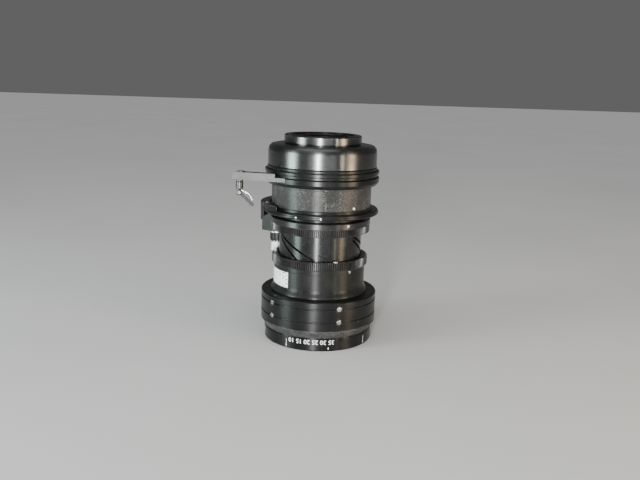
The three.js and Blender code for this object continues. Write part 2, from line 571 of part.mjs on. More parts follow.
function addArmRingAndLock() {
  // The bar is drawn along -X from its root and turned to its place. Its outer top corner is round.
  const CORNER = 4;
  const profile = new THREE.Shape();
  profile.moveTo(0, ARM.base);
  profile.lineTo(0, ARM.tongueTop);
  profile.lineTo(-ARM.tongue, ARM.tongueTop);
  profile.lineTo(-ARM.tongue, ARM.top);
  profile.lineTo(CORNER - ARM.length, ARM.top);
  profile.absarc(CORNER - ARM.length, ARM.top - CORNER, CORNER, Math.PI / 2, Math.PI, false);
  profile.lineTo(-ARM.length, ARM.base);
  const drawn = new THREE.ExtrudeGeometry(profile, {
    depth: ARM.depth, bevelEnabled: false, curveSegments: 4,
  });
  // Extruded along +Z, it is stood up so that the outline's height is Z and its depth is +Y.
  const armBar = drawn.rotateX(Math.PI / 2).translate(0, ARM.depth, 0)
    .rotateZ(radians(ARM.turn)).translate(ARM.rootX, ARM.rootY, 0);
  // The tongue lies in a slot that is open to the front.
  const slot = box(-20, GAP, -12, ARM.depth + GAP, ARM.base - GAP, LEVEL.armRingTop + 1)
    .rotateZ(radians(ARM.turn)).translate(ARM.rootX, ARM.rootY, 0);
  add("arm_ring", cut(turnedRing([
    [49.1, LEVEL.armRing], [53.4, LEVEL.armRing], [RADIUS.armRing, 158.6],
    [RADIUS.armRing, LEVEL.armRingTop], [49.1, LEVEL.armRingTop],
  ]), slot), FINISH.satinBlack);
  const clearOfRings = bar(RADIUS.armRing + GAP, LEVEL.armRingTop - 0.1, 175, FACETS);
  const clearOfBarrel = bar(RADIUS.rearBarrel + GAP, 150, 170, FACETS);
  add("lock_arm", cut(armBar, clearOfRings, clearOfBarrel), FINISH.greyAluminium);

  // Post with a flat cheek at its foot for the lever's pivot.
  const post = bar(POST.radius, POST.base, ARM.base - GAP, 16).translate(POST.x, POST.y, 0);
  const cheek = box(POST.x - 2.6, POST.x + 2.6, POST.y, POST.y + 2, PIVOT.z - 2.8, POST.base + 0.5);
  const alongY = (geometry, y) => geometry.rotateX(-Math.PI / 2).translate(POST.x, y, PIVOT.z);
  add("lock_post", cut(join(post, cheek), alongY(bar(PIVOT.radius + GAP, -1, 4, 12), POST.y)),
    FINISH.steel);
  const LEVER_BACK = POST.y - GAP;
  const LEVER_FRONT = LEVER_BACK - LEVER.thickness;
  const pin = turned([
    [0, 0], [2.3, 0], [2.3, 1], [PIVOT.radius, 1], [PIVOT.radius, 5.4], [0, 5.4],
  ], 12);
  add("lock_pivot", alongY(pin, LEVER_FRONT - GAP - 1), FINISH.steel);

  const lever = new THREE.Group();
  lever.position.set(POST.x, LEVER_BACK, PIVOT.z);
  lens.add(lever);
  const eye = bar(PIVOT.eye, 0, LEVER.thickness, 16);
  const blade = box(0, LEVER.length, -LEVER.width / 2, LEVER.width / 2, 0, LEVER.thickness);
  const flat = cut(join(eye, blade), bar(PIVOT.radius + GAP, -1, 3, 12));
  add("lock_lever", flat.rotateX(Math.PI / 2).rotateY(radians(-LEVER.slope)),
    FINISH.greyAluminium, lever);

  // Spring wire: it leaves the lever's eye and arches over the blade to its tip.
  const WIRE = 0.5;
  const wirePath = new THREE.CatmullRomCurve3([
    new THREE.Vector3(2.7, -0.8, 1.6), new THREE.Vector3(7.3, -0.8, 0.2),
    new THREE.Vector3(10.8, -0.8, -2.8), new THREE.Vector3(12.1, -0.8, -6.6),
    new THREE.Vector3(12.3, -0.8, -8.4),
  ]);
  const section = new THREE.Shape().absarc(0, 0, WIRE, 0, 2 * Math.PI, false);
  add("lever_spring", new THREE.ExtrudeGeometry(section, {
    steps: 10, curveSegments: 4, extrudePath: wirePath,
  }), FINISH.steel, lever);
}

addFrontGroup();
addFocusRing();
addZoomBarrel();
addSlidingGroup(VARIATOR, { radius: 30.1, front: 89.5, frontSag: -2.4, back: 93, backSag: 2.4 });
addSlidingGroup(COMPENSATOR, { radius: 30.1, front: 60.8, frontSag: 2.2, back: 69.6, backSag: -2 });
addHousing();
addDriveFlange();
addZoomDrive();
addFocusDrive();
addArmRingAndLock();

export default lens;
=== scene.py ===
import json
import math

import bmesh
import bpy
from mathutils import Matrix, Vector


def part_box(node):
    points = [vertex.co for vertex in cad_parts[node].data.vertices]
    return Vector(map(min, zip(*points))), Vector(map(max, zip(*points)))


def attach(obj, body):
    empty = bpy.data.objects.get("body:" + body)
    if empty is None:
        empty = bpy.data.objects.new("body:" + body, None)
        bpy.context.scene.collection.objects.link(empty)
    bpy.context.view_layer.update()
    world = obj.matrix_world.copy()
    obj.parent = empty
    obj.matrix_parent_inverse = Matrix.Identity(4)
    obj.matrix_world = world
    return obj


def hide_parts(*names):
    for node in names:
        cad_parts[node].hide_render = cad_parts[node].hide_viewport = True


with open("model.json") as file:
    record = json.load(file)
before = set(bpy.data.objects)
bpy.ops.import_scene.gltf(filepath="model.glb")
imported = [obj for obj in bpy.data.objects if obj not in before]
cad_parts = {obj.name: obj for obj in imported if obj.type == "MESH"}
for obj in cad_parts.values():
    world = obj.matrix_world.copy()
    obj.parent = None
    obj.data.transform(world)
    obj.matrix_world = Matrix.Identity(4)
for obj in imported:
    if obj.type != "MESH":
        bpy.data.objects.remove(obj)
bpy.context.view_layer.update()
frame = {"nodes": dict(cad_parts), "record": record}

MM = 0.001
SEGMENTS = 192  # facets of the large turned pieces
SMALL_SEGMENTS = 48
SHARP_ANGLE = 38  # edges that turn by more, in degrees, stay sharp
FILLET = 0.25  # usual edge break
GAP = 0.3  # the solid model's gap between neighbours
MODULE = 0.6  # of all gears: pitch diameter over number of teeth
UNMOVED = Matrix.Identity(4)


# ---- What the frame says ----

def middle(node):
    low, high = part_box(node)
    return (low + high) / 2


def span(node):
    """Lowest and highest point of a node."""
    low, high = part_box(node)
    return low.z / MM, high.z / MM


AXIS = middle("front_barrel") * Vector((1, 1, 0))


def reach(node):
    """Largest distance of a node's corners from the optical axis."""
    return max((v.co - AXIS).xy.length / MM for v in frame["nodes"][node].data.vertices)


BODY_OF = {node: body for body, members in frame["record"]["behaviour"]["bodies"].items()
           for node in members}


def azimuth_at(offset):
    return math.degrees(math.atan2(offset.x, -offset.y))


def azimuth_of(node):
    return azimuth_at(middle(node) - AXIS)


# ---- Places ----

def round_point(radius, azimuth, z):
    turn = math.radians(azimuth)
    return Vector((radius * math.sin(turn), -radius * math.cos(turn), z))


def spin(angle, axis="Z"):
    return Matrix.Rotation(math.radians(angle), 4, axis)


def raised(z):
    return Matrix.Translation((0, 0, z))


def upright(radius, azimuth, z=0.0):
    """A frame with +Z up and +X pointing away from the optical axis."""
    return Matrix.Translation(round_point(radius, azimuth, z)) @ spin(azimuth - 90)


def outward(radius, azimuth, z):
    """A frame whose +Z points away from the optical axis."""
    return upright(radius, azimuth, z) @ spin(90, "Y")


# ---- Mesh making ----

def link(name, data):
    obj = bpy.data.objects.new(name, data)
    bpy.context.scene.collection.objects.link(obj)
    return obj


def clean(mesh):
    """Merges doubled points, drops loose edges and turns every face outwards."""
    shape = bmesh.new()
    shape.from_mesh(mesh)
    bmesh.ops.remove_doubles(shape, verts=shape.verts, dist=1e-7)
    loose = [edge for edge in shape.edges if not edge.link_faces]
    bmesh.ops.delete(shape, geom=loose, context="EDGES")
    bmesh.ops.recalc_face_normals(shape, faces=shape.faces)
    shape.to_mesh(mesh)
    shape.free()


def shade(obj):
    """Smooth shading that keeps flat faces flat and hard edges hard."""
    obj.data.polygons.foreach_set("use_smooth", [True] * len(obj.data.polygons))
    obj.data.set_sharp_from_angle(angle=math.radians(SHARP_ANGLE))
    obj.modifiers.new("flat faces", "WEIGHTED_NORMAL").keep_sharp = True


def piece(name, vertices, faces, place=UNMOVED):
    mesh = bpy.data.meshes.new(name)
    mesh.from_pydata([AXIS + (place @ Vector(v)) * MM for v in vertices], [], faces)
    clean(mesh)
    obj = link(name, mesh)
    shade(obj)
    return obj


def swept(name, azimuths, rows, place=UNMOVED):
    """A closed body of rows round local Z. A row is (radius, z), or one radius for each azimuth."""
    count = len(azimuths)
    vertices = []
    for radius, z in rows:
        radii = radius if isinstance(radius, list) else [radius] * count
        vertices += [round_point(r, azimuth, z) for r, azimuth in zip(radii, azimuths)]
    faces = []
    for i in range(len(rows)):
        a, b = i * count, (i + 1) % len(rows) * count
        for k in range(count):
            n = (k + 1) % count
            faces.append((a + k, a + n, b + n, b + k))
    return piece(name, vertices, faces, place)


def evenly(count):
    return [i * 360 / count for i in range(count)]


def arc(centre, radius, start, end, steps):
    """Points of an arc, with its angles in degrees from the first axis to the second."""
    angles = [math.radians(start + (end - start) * i / steps) for i in range(steps + 1)]
    return [(centre[0] + radius * math.cos(a), centre[1] + radius * math.sin(a)) for a in angles]


def filleted(corners, radius):
    """A closed outline with its corners rounded. A corner may give a radius of its own."""
    steps = 3
    outline = []
    for i, corner in enumerate(corners):
        here = Vector(corner[:2])
        back = Vector(corners[i - 1][:2]) - here
        ahead = Vector(corners[(i + 1) % len(corners)][:2]) - here
        size = corner[2] if len(corner) > 2 else radius
        size = min(size, 0.45 * back.length, 0.45 * ahead.length)
        if here.x < 1e-6 or size < 0.01:
            outline.append(tuple(here))
            continue
        start = here + back.normalized() * size
        end = here + ahead.normalized() * size
        for step in range(steps + 1):
            t = step / steps
            point = start * (1 - t) ** 2 + here * 2 * t * (1 - t) + end * t ** 2
            outline.append(tuple(point))
    return outline


def turned(name, corners, fillet=FILLET, segments=SEGMENTS, place=UNMOVED):
    """A body of revolution from the corners of its section."""
    return swept(name, evenly(segments), filleted(corners, fillet), place)


def small_turned(name, corners, fillet, place):
    return turned(name, corners, fillet, SMALL_SEGMENTS, place)


def cylinder(radius, z0, z1, place=UNMOVED, segments=SMALL_SEGMENTS):
    """A plain cutter or joining piece."""
    return turned("cylinder", [(0, z0), (radius, z0), (radius, z1), (0, z1)], 0, segments, place)


def on_axis(azimuth, radius):
    """A frame with its Z axis parallel to the optical axis."""
    return Matrix.Translation(round_point(radius, azimuth, 0))


def tube(name, inner, outer, z0, z1, fillet=FILLET, segments=SEGMENTS):
    corners = [(inner, z0), (outer, z0), (outer, z1), (inner, z1)]
    return turned(name, corners, fillet, segments)


def loop_faces(count, loops):
    """Faces of a closed body through a number of loops with count points each."""
    last = count * (loops - 1)
    faces = [tuple(range(count)), tuple(reversed(range(last, last + count)))]
    for start in range(0, last, count):
        for k in range(count):
            n = (k + 1) % count
            faces.append((start + k, start + n, start + count + n, start + count + k))
    return faces


def rectangle(x0, x1, y0, y1):
    return [(x0, y0), (x1, y0), (x1, y1), (x0, y1)]


def prism(name, outline, z0, z1, place):
    """A flat outline in local XY raised from z0 to z1."""
    vertices = [(x, y, z) for z in (z0, z1) for x, y in outline]
    return piece(name, vertices, loop_faces(len(outline), 2), place)


def block(name, x0, x1, y0, y1, z0, z1, place=UNMOVED):
    return prism(name, rectangle(x0, x1, y0, y1), z0, z1, place)


def arc_block(name, inner, outer, start, end, z0, z1, place=UNMOVED, steps=0):
    """A curved block between two radii and two azimuths."""
    steps = steps or max(2, round(abs(end - start) / 2))
    azimuths = [start + (end - start) * i / steps for i in range(steps + 1)]
    vertices = [round_point(r, azimuth, z) for azimuth in azimuths
                for r, z in rectangle(inner, outer, z0, z1)]
    return piece(name, vertices, loop_faces(4, steps + 1), place)


def evaluated_mesh(obj):
    """A new mesh of what shows of an object, with its modifiers or as a filled curve."""
    bpy.context.view_layer.update()
    return bpy.data.meshes.new_from_object(obj.evaluated_get(bpy.context.evaluated_depsgraph_get()))


def settle(obj):
    """Applies the modifiers of an object, so that its mesh is what shows."""
    obj.data = evaluated_mesh(obj)
    obj.data.name = obj.name
    obj.modifiers.clear()


def carve(obj, *tools, operation="DIFFERENCE"):
    """Cuts the tools from an object, or joins them to it."""
    obj.modifiers.clear()
    for tool in tools:
        tool.modifiers.clear()
        cut = obj.modifiers.new("cut", "BOOLEAN")
        cut.operation = operation
        cut.object = tool
        cut.solver = "EXACT"
    settle(obj)
    for tool in tools:
        bpy.data.objects.remove(tool)
    clean(obj.data)
    shade(obj)
    return obj


def bevelled(obj, width):
    """Breaks the hard edges of an object."""
    obj.modifiers.clear()
    bevel = obj.modifiers.new("edge break", "BEVEL")
    bevel.width = width * MM
    bevel.segments = 2
    bevel.limit_method = "ANGLE"
    bevel.angle_limit = math.radians(40)
    settle(obj)
    shade(obj)
    return obj


def wire(name, points, radius):
    """A round wire through points, as a closed mesh."""
    curve = bpy.data.curves.new(name, "CURVE")
    curve.dimensions = "3D"
    curve.bevel_depth = radius * MM
    curve.bevel_resolution = 4
    curve.use_fill_caps = True
    spline = curve.splines.new("NURBS")
    spline.points.add(len(points) - 1)
    for point, place in zip(spline.points, points):
        point.co = (*(AXIS + Vector(place) * MM), 1)
    spline.order_u = 4
    spline.use_endpoint_u = True
    spline.resolution_u = 8
    path = link(name + "_path", curve)
    mesh = evaluated_mesh(path)
    bpy.data.objects.remove(path)
    clean(mesh)
    obj = link(name, mesh)
    shade(obj)
    return obj


# ---- Materials ----

def supply(tree, target, inputs):
    """Sets sockets of a node to values, or links outputs to them."""
    for key, value in inputs.items():
        if isinstance(value, bpy.types.NodeSocket):
            tree.links.new(value, target.inputs[key])
        else:
            target.inputs[key].default_value = value


def new_material(name, **sockets):
    """A Principled material. Socket names use _ for spaces."""
    material = bpy.data.materials.new(name)
    material.use_nodes = True
    tree = material.node_tree
    shader = tree.nodes["Principled BSDF"]
    supply(tree, shader, {socket.replace("_", " "): value for socket, value in sockets.items()})
    return material, tree, shader


def node(tree, kind, inputs=None, **settings):
    made = tree.nodes.new("ShaderNode" + kind)
    for key, value in settings.items():
        setattr(made, key, value)
    supply(tree, made, inputs or {})
    return made


def vector_node(tree, operation, a, b, output="Vector"):
    return node(tree, "VectorMath", {0: a, 1: b}, operation=operation).outputs[output]


def arithmetic(tree, operation, a, b):
    return node(tree, "Math", {0: a, 1: b}, operation=operation).outputs[0]


def object_place(tree):
    """Coordinates in metres, fixed to the piece."""
    return node(tree, "TexCoord").outputs["Object"]


def place_in_lens(tree):
    """Coordinates in metres from the optical axis, fixed to the piece."""
    return vector_node(tree, "SUBTRACT", object_place(tree), AXIS)


def ramp(tree, factor, low, high, below=0.0, above=1.0):
    """Maps factor from low..high to below..above, and clamps it."""
    return node(tree, "MapRange", dict(enumerate((factor, low, high, below, above)))).outputs[0]


def noise(tree, vector, scale, detail, roughness=0.5):
    inputs = {"Vector": vector, "Scale": scale, "Detail": detail, "Roughness": roughness}
    return node(tree, "TexNoise", inputs).outputs[0]


def bump(tree, height, strength, distance):
    """A bumpy normal. distance is in millimetres."""
    inputs = {"Height": height, "Strength": strength, "Distance": distance * MM}
    return node(tree, "Bump", inputs).outputs["Normal"]


def turning_lines(tree, vector, pitch):
    """Uneven rings round the axis, such as a lathe tool leaves. pitch is in millimetres."""
    stretched = vector_node(tree, "MULTIPLY", vector, (6, 6, 1 / (pitch * MM)))
    return noise(tree, stretched, 1.0, 3.0, 0.6)


def mixed(tree, factor, low, high):
    """Colour between low and high, which are colours or outputs."""
    made = node(tree, "Mix", {"Factor": factor}, data_type="RGBA")
    low_socket, high_socket = [i for i, s in enumerate(made.inputs) if s.type == "RGBA"]
    supply(tree, made, {low_socket: low, high_socket: high})
    return next(s for s in made.outputs if s.type == "RGBA")


def edge_wear(tree, radius):
    """1 on edges sharper than the given rounding, and 0 on open faces."""
    rounded = node(tree, "Bevel", {"Radius": radius * MM}, samples=6).outputs["Normal"]
    plain = node(tree, "NewGeometry").outputs["Normal"]
    return ramp(tree, vector_node(tree, "DOT_PRODUCT", rounded, plain, "Value"), 0.99, 0.88)


def round_the_axis(tree, vector):
    """The direction round the optical axis, for reflections that stretch along the barrel."""
    across = vector_node(tree, "CROSS_PRODUCT", (0, 0, 1), vector)
    return node(tree, "VectorTransform", {"Vector": across}, vector_type="VECTOR",
                convert_from="OBJECT", convert_to="WORLD").outputs["Vector"]


def grey(value, tint=(1, 1, 1)):
    return (value * tint[0], value * tint[1], value * tint[2], 1)


def lighter(colour, times):
    return (*(part * times for part in colour[:3]), 1)


def machined(name, colour, roughness, worn=None, lines=0.0, line_pitch=0.35, dust=0.0,
             smudge=0.08, grain=0.0, spun=0.0, **sockets):
    """A machined and treated metal: turning lines, smudges, dust specks, grain and worn edges.
    spun stretches its reflections along the optical axis, as turning marks do."""
    material, tree, shader = new_material(
        name, Anisotropic=spun, Anisotropic_Rotation=0.25 if spun else 0.0, **sockets)
    vector = place_in_lens(tree)
    if spun:
        supply(tree, shader, {"Tangent": round_the_axis(tree, vector)})
    cloud = noise(tree, vector, 60, 4)
    fine = noise(tree, vector, 900, 2, 0.6)
    base = mixed(tree, ramp(tree, cloud, 0.3, 0.7), colour, lighter(colour, 1.35))
    rough = ramp(tree, cloud, 0.25, 0.75, roughness - smudge / 2, roughness + smudge)
    height = fine
    if lines:
        ring = turning_lines(tree, vector, line_pitch)
        base = mixed(tree, ramp(tree, ring, 0.45, 0.75, 0, lines), base, lighter(colour, 2.6))
        rough = arithmetic(tree, "ADD", rough, ramp(tree, ring, 0.3, 0.8, 0, 0.12 * lines))
        height = arithmetic(tree, "ADD", ring, arithmetic(tree, "MULTIPLY", fine, grain + 0.05))
    if dust:
        specks = ramp(tree, noise(tree, vector, 1000, 3), 0.46, 0.72)
        patches = ramp(tree, noise(tree, vector, 95, 3), 0.36, 0.62, 0.25)
        lying = arithmetic(tree, "MULTIPLY", arithmetic(tree, "MULTIPLY", specks, patches), dust)
        base = mixed(tree, lying, base, (0.34, 0.34, 0.33, 1))
        rough = arithmetic(tree, "ADD", rough, arithmetic(tree, "MULTIPLY", lying, 0.5))
    if worn:
        rubbed = ramp(tree, noise(tree, vector, 150, 3), 0.35, 0.65, 0.2)
        base = mixed(tree, arithmetic(tree, "MULTIPLY", edge_wear(tree, 0.3), rubbed), base, worn)
    normal = bump(tree, height, 0.12 + 0.35 * lines + 0.3 * grain, 0.03)
    supply(tree, shader, {"Base Color": base, "Roughness": rough, "Normal": normal})
    return material


def coated_glass():
    """Clear glass with a faint violet anti-reflection coat, and a few dust specks."""
    material, tree, shader = new_material(
        "coated glass", Transmission_Weight=1.0, IOR=1.52, Coat_Weight=0.3,
        Coat_Tint=(0.95, 0.92, 1, 1), Coat_Roughness=0.02)
    vector = place_in_lens(tree)
    dust = ramp(tree, noise(tree, vector, 1500, 1), 0.7, 0.76)
    rough = arithmetic(tree, "ADD", arithmetic(tree, "MULTIPLY", dust, 0.25), 0.01)
    tint = mixed(tree, dust, (0.86, 0.9, 0.95, 1), (0.7, 0.72, 0.75, 1))
    supply(tree, shader, {"Base Color": tint, "Roughness": rough})
    return material


def printed_label():
    """White sticker with rows of faint grey dashes and a little yellowing."""
    material, tree, shader = new_material("sticker", Roughness=0.55)
    vector = place_in_lens(tree)
    rows = node(tree, "TexBrick", {
        "Vector": node(tree, "TexCoord").outputs["UV"], "Scale": 1.0, "Bias": 0.1,
        "Color1": grey(0.75), "Color2": grey(0.1), "Mortar": grey(0.86), "Mortar Size": 0.03,
        "Brick Width": 0.19, "Row Height": 0.125,
    }, offset=0.37, squash=0.7, squash_frequency=2)
    stain = ramp(tree, noise(tree, vector, 120, 3), 0.5, 0.8, 0, 0.25)
    base = mixed(tree, stain, rows.outputs["Color"], (0.6, 0.58, 0.5, 1))
    normal = bump(tree, noise(tree, vector, 500, 3), 0.2, 0.05)
    supply(tree, shader, {"Base Color": base, "Normal": normal})
    return material


def mottled(name, low, high, coordinates, scale, spread, share=1.0, **sockets):
    """A plain surface whose colour wanders from low to high by up to share."""
    material, tree, shader = new_material(name, **sockets)
    factor = ramp(tree, noise(tree, coordinates(tree), scale, 3), *spread, 0, share)
    supply(tree, shader, {"Base Color": mixed(tree, factor, low, high)})
    return material


# The white paint serves the printed numbers and the painted highlights over the front ring's notches.
def white_paint():
    return mottled("white paint", grey(0.85), grey(0.5), place_in_lens, 700, (0.55, 0.7), 0.5,
                   Roughness=0.5)


def insulated(name, colour):
    """Soft plastic insulation of a thin lead."""
    return mottled(name, colour, grey(0.3), place_in_lens, 400, (0.4, 0.7), 0.4, Roughness=0.4)


def pale_floor():
    return mottled("studio floor", grey(0.62), grey(0.66), object_place, 3, (0.3, 0.7),
                   Roughness=0.8, Specular_IOR_Level=0.2)


COOL = (0.9, 1.0, 1.05)
LOOKS = {
    "polished": (machined("polished black", grey(0.003, COOL), 0.27, smudge=0.08, spun=0.8, IOR=1.75),
                 "gloss_black"),
    "cam": (machined("polished cam barrel", grey(0.003, COOL), 0.26, smudge=0.08, dust=0.08, spun=0.9,
                     IOR=1.45), "gloss_black"),
    "fine_turned": (machined("fine turned black", grey(0.006, (0.96, 1, 0.97)), 0.3, worn=grey(0.2),
                             lines=0.8, dust=0.06, spun=0.85, IOR=1.3), "gloss_black"),
    "front_gloss": (machined("front ring black", grey(0.003, COOL), 0.26, worn=grey(0.4), lines=0.15,
                             dust=0.03, spun=0.88, IOR=1.33), "gloss_black"),
    "satin": (machined("satin black", grey(0.003, COOL), 0.3, worn=grey(0.25), lines=0.12, dust=0.03,
                       spun=0.75, IOR=1.34), "satin_black"),
    "dusty": (machined("dusty satin black", grey(0.014), 0.36, worn=grey(0.2), lines=0.2, dust=0.4,
                       smudge=0.15, spun=0.85, IOR=1.38), "satin_black"),
    "teeth": (machined("toothed black", grey(0.004), 0.3, worn=grey(0.1), dust=0.03, spun=0.8,
                       IOR=1.5), "tooth_black"),
    "inner": (machined("matte inner black", grey(0.003), 0.6, lines=0.4, line_pitch=0.8, IOR=1.25),
              "inner_black"),
    "silver": (machined("dark turned metal", grey(0.1), 0.28, lines=0.5, line_pitch=0.25,
                        spun=0.92, Metallic=1.0), "silver_ring"),
    "blasted": (machined("blasted aluminium", grey(0.085), 0.5, worn=grey(0.15), grain=1.0,
                         Metallic=0.3), "grey_aluminium"),
    "lever": (machined("dull grey metal", grey(0.008), 0.5, worn=grey(0.05), grain=1.0,
                       Metallic=0.3), "grey_aluminium"),
    "steel": (machined("bright steel", grey(0.5), 0.25, smudge=0.1, Metallic=1.0), "steel"),
    "dark_steel": (machined("dark steel", grey(0.06), 0.36, smudge=0.1, Metallic=1.0), "steel"),
    # Zinc-plated steel painted near-white and matte, so that the cap screw heads in the flange's shade
    # still read bright: a painted highlight.
    "painted_highlight_zinc": (machined("zinc-plated steel", grey(0.92), 0.4, smudge=0.1), "steel"),
    "dark_can": (machined("dark gearbox can", grey(0.004), 0.35, lines=0.3, IOR=1.35), "steel"),
    "brass": (machined("machined brass", (0.3, 0.22, 0.1, 1), 0.35, lines=0.3, Metallic=1.0), "brass"),
    "bronze": (machined("dark bronze", (0.03, 0.022, 0.015, 1), 0.35, lines=0.3, Metallic=1.0),
               "brass"),
    "can": (machined("plated motor can", grey(0.3), 0.28, lines=0.2, Metallic=1.0), "motor_can"),
    "sticker": (printed_label(), "motor_can"),
    # paint: printed numbers, and painted highlights over the notches
    "paint": (white_paint(), "gloss_black"),
    "glass": (coated_glass(), "coated_glass"),
    "lead_black": (insulated("black insulation", grey(0.008)), "motor_can"),
    "lead_white": (insulated("white insulation", grey(0.7)), "motor_can"),
}


def dress(obj, look, *nodes, body="housing"):
    """Gives a piece its look and hides the solid nodes that it stands for. It rides on their body,
    or on the one named."""
    material, slot = LOOKS[look]
    obj.data.materials.clear()
    obj.data.materials.append(material)
    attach(obj, BODY_OF[nodes[0]] if nodes else body)
    if nodes:
        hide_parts(*nodes)


# ---- Shared parts ----

def hexagon(across, azimuths):
    """Radii of a hexagon at the given azimuths."""
    return [across / 2 / math.cos(math.radians((a % 60) - 30)) for a in azimuths]


def socket_screw(name, radius, height, place):
    """A screw head with a hexagon socket. Its top is at local z = 0."""
    azimuths = evenly(SMALL_SEGMENTS)
    socket = hexagon(radius * 0.8, azimuths)
    rows = filleted([(0, -height), (radius, -height), (radius, 0, 0.25)], 0.1)
    depth = -0.55 * height
    return swept(name, azimuths, rows + [(socket, 0), (socket, depth), (0, depth)], place)


def slotted_screw(name, radius, height, place, crown):
    """A screw head with a slot. Its rim is at local z = 0 and its middle stands proud by crown."""
    corners = [(0, -height), (radius, -height), (radius, 0, 0.12), (0, crown)]
    head = small_turned(name, corners, 0.05, place)
    half = 0.14 * radius
    slot = block(name + "_slot", -2 * radius, 2 * radius, -half, half, -0.4 * height, 1, place)
    return carve(head, slot)


def radial_slots(azimuths, near, far, half, z0, z1, radius=0):
    """Cutters that point away from the axis, from near to far beyond a radius."""
    return [block("slot", near, far, -half, half, z0, z1, upright(radius, azimuth))
            for azimuth in azimuths]


def pocket(radius, depth, place):
    """A cutter for a round recess below local z = 0."""
    return cylinder(radius, -depth, 1, place)


def gear_outline(teeth, phase, tip=1.0):
    """Azimuths and radii round a gear with rounded tooth tips. phase is the azimuth of a gap."""
    pitch = 360 / teeth
    pitch_radius = MODULE * teeth / 2
    root = 1.25
    shape = [(0.0, -root), (0.16, -root), (0.3, -0.2), (0.4, 0.75 * tip), (0.46, tip),
             (0.54, tip), (0.6, 0.75 * tip), (0.7, -0.2), (0.84, -root)]
    azimuths = [phase + (i + part) * pitch for i in range(teeth) for part, _ in shape]
    radii = [pitch_radius + MODULE * level for _, level in shape] * teeth
    return azimuths, radii


def toothed_rows(radii, z0, z1, chamfer=0.35):
    """Rows of a gear's rim, chamfered at both faces."""
    inset = [r - chamfer for r in radii]
    return [(inset, z0), (radii, z0 + chamfer), (radii, z1 - chamfer), (inset, z1)]


def lens_element(node_name, radius, front, front_sag, back, back_sag):
    """A glass with two shallow curved faces. A sag is the rim's height above the vertex."""
    steps = 16
    face = [(radius * i / steps, front + front_sag * (i / steps) ** 2) for i in range(steps + 1)]
    rear = [(radius * i / steps, back + back_sag * (i / steps) ** 2) for i in range(steps, -1, -1)]
    dress(swept(f"{node_name}_element", evenly(96), face + rear), "glass", node_name)


# ---- Front group ----

NOTCH_AZIMUTHS = [-33 + 45 * i for i in range(8)]
NUMBERS = {"values": range(10, 40, 5), "azimuth": -27, "pitch": 8.4, "size": 6.2, "z": 9.3}
FRONT_SCREW_AZIMUTHS = [21 + 72 * i for i in range(5)]
GROOVES = [42.3, 29.5]
GROOVE = 0.9  # radius of the hollow


def add_front_ring():
    z0, z1 = span("front_ring")
    bore = 47.6
    radius = reach("front_ring")
    ring = turned("front_ring_turned", [
        (50.8, z0), (radius - 0.8, z0), (radius, z0 + 0.8), (radius, z1 - 1.2),
        (radius - 0.5, z1 - 0.9), (radius - 0.5, z1), (bore, z1), (bore, 6.5)])
    carve(ring, *radial_slots(NOTCH_AZIMUTHS, -0.6, 1.2, 0.6, z0 - 1, z0 + 1.6, radius))
    dress(ring, "front_gloss", "front_ring")
    add_scale(radius)


def wrapped(vertices, radius, azimuth, z, thickness):
    """Points drawn flat in XY, laid upside down on a cylinder."""
    return [round_point(radius + thickness * depth, azimuth - math.degrees(x / radius), z - y)
            for x, y, depth in vertices]


def number_mesh(text, size):
    """Vertices in millimetres and faces of a number drawn flat, 1 unit thick."""
    curve = bpy.data.curves.new("number", "FONT")
    curve.body = text
    curve.size = size
    curve.align_x = "CENTER"
    curve.align_y = "CENTER"
    curve.extrude = 0.5
    curve.resolution_u = 3
    obj = link("number", curve)
    mesh = evaluated_mesh(obj)
    vertices = [tuple(v.co) for v in mesh.vertices]
    faces = [tuple(p.vertices) for p in mesh.polygons]
    bpy.data.objects.remove(obj)
    return vertices, faces


def tick_mesh(width, height):
    corners = rectangle(-width / 2, width / 2, -height / 2, height / 2)
    return [(x, y, depth) for depth in (-0.5, 0.5) for x, y in corners], loop_faces(4, 2)


def add_scale(radius):
    """White marks on the front ring: a row of printed numbers, and painted highlights above the notches:
    a white line with a bright dot at its foot for each notch, where the notches catch the light.
    A line that stands under the numbers is a short one."""
    vertices, faces = [], []
    first, pitch = NUMBERS["azimuth"], NUMBERS["pitch"]
    highlight_foot, highlight_top, short_highlight_top = 2.4, 9.4, 4.4
    marks = [(number_mesh(str(value), NUMBERS["size"]), first + pitch * i, NUMBERS["z"])
             for i, value in enumerate(NUMBERS["values"])]
    last = marks[-1][1]
    # painted highlights: a white line and a bright dot above each notch
    for azimuth in NOTCH_AZIMUTHS:
        top = short_highlight_top if first < azimuth <= last + pitch else highlight_top
        marks.append((tick_mesh(0.35, top - highlight_foot), azimuth, (top + highlight_foot) / 2))
        marks.append((tick_mesh(0.9, 1.3), azimuth, highlight_foot + 0.5))
    for (points, sides), azimuth, z in marks:
        start = len(vertices)
        vertices += wrapped(points, radius + 0.02, azimuth, z, 0.1)
        faces += [tuple(start + i for i in side) for side in sides]
    dress(piece("front_ring_scale_and_painted_highlights", vertices, faces), "paint", body="front_group")


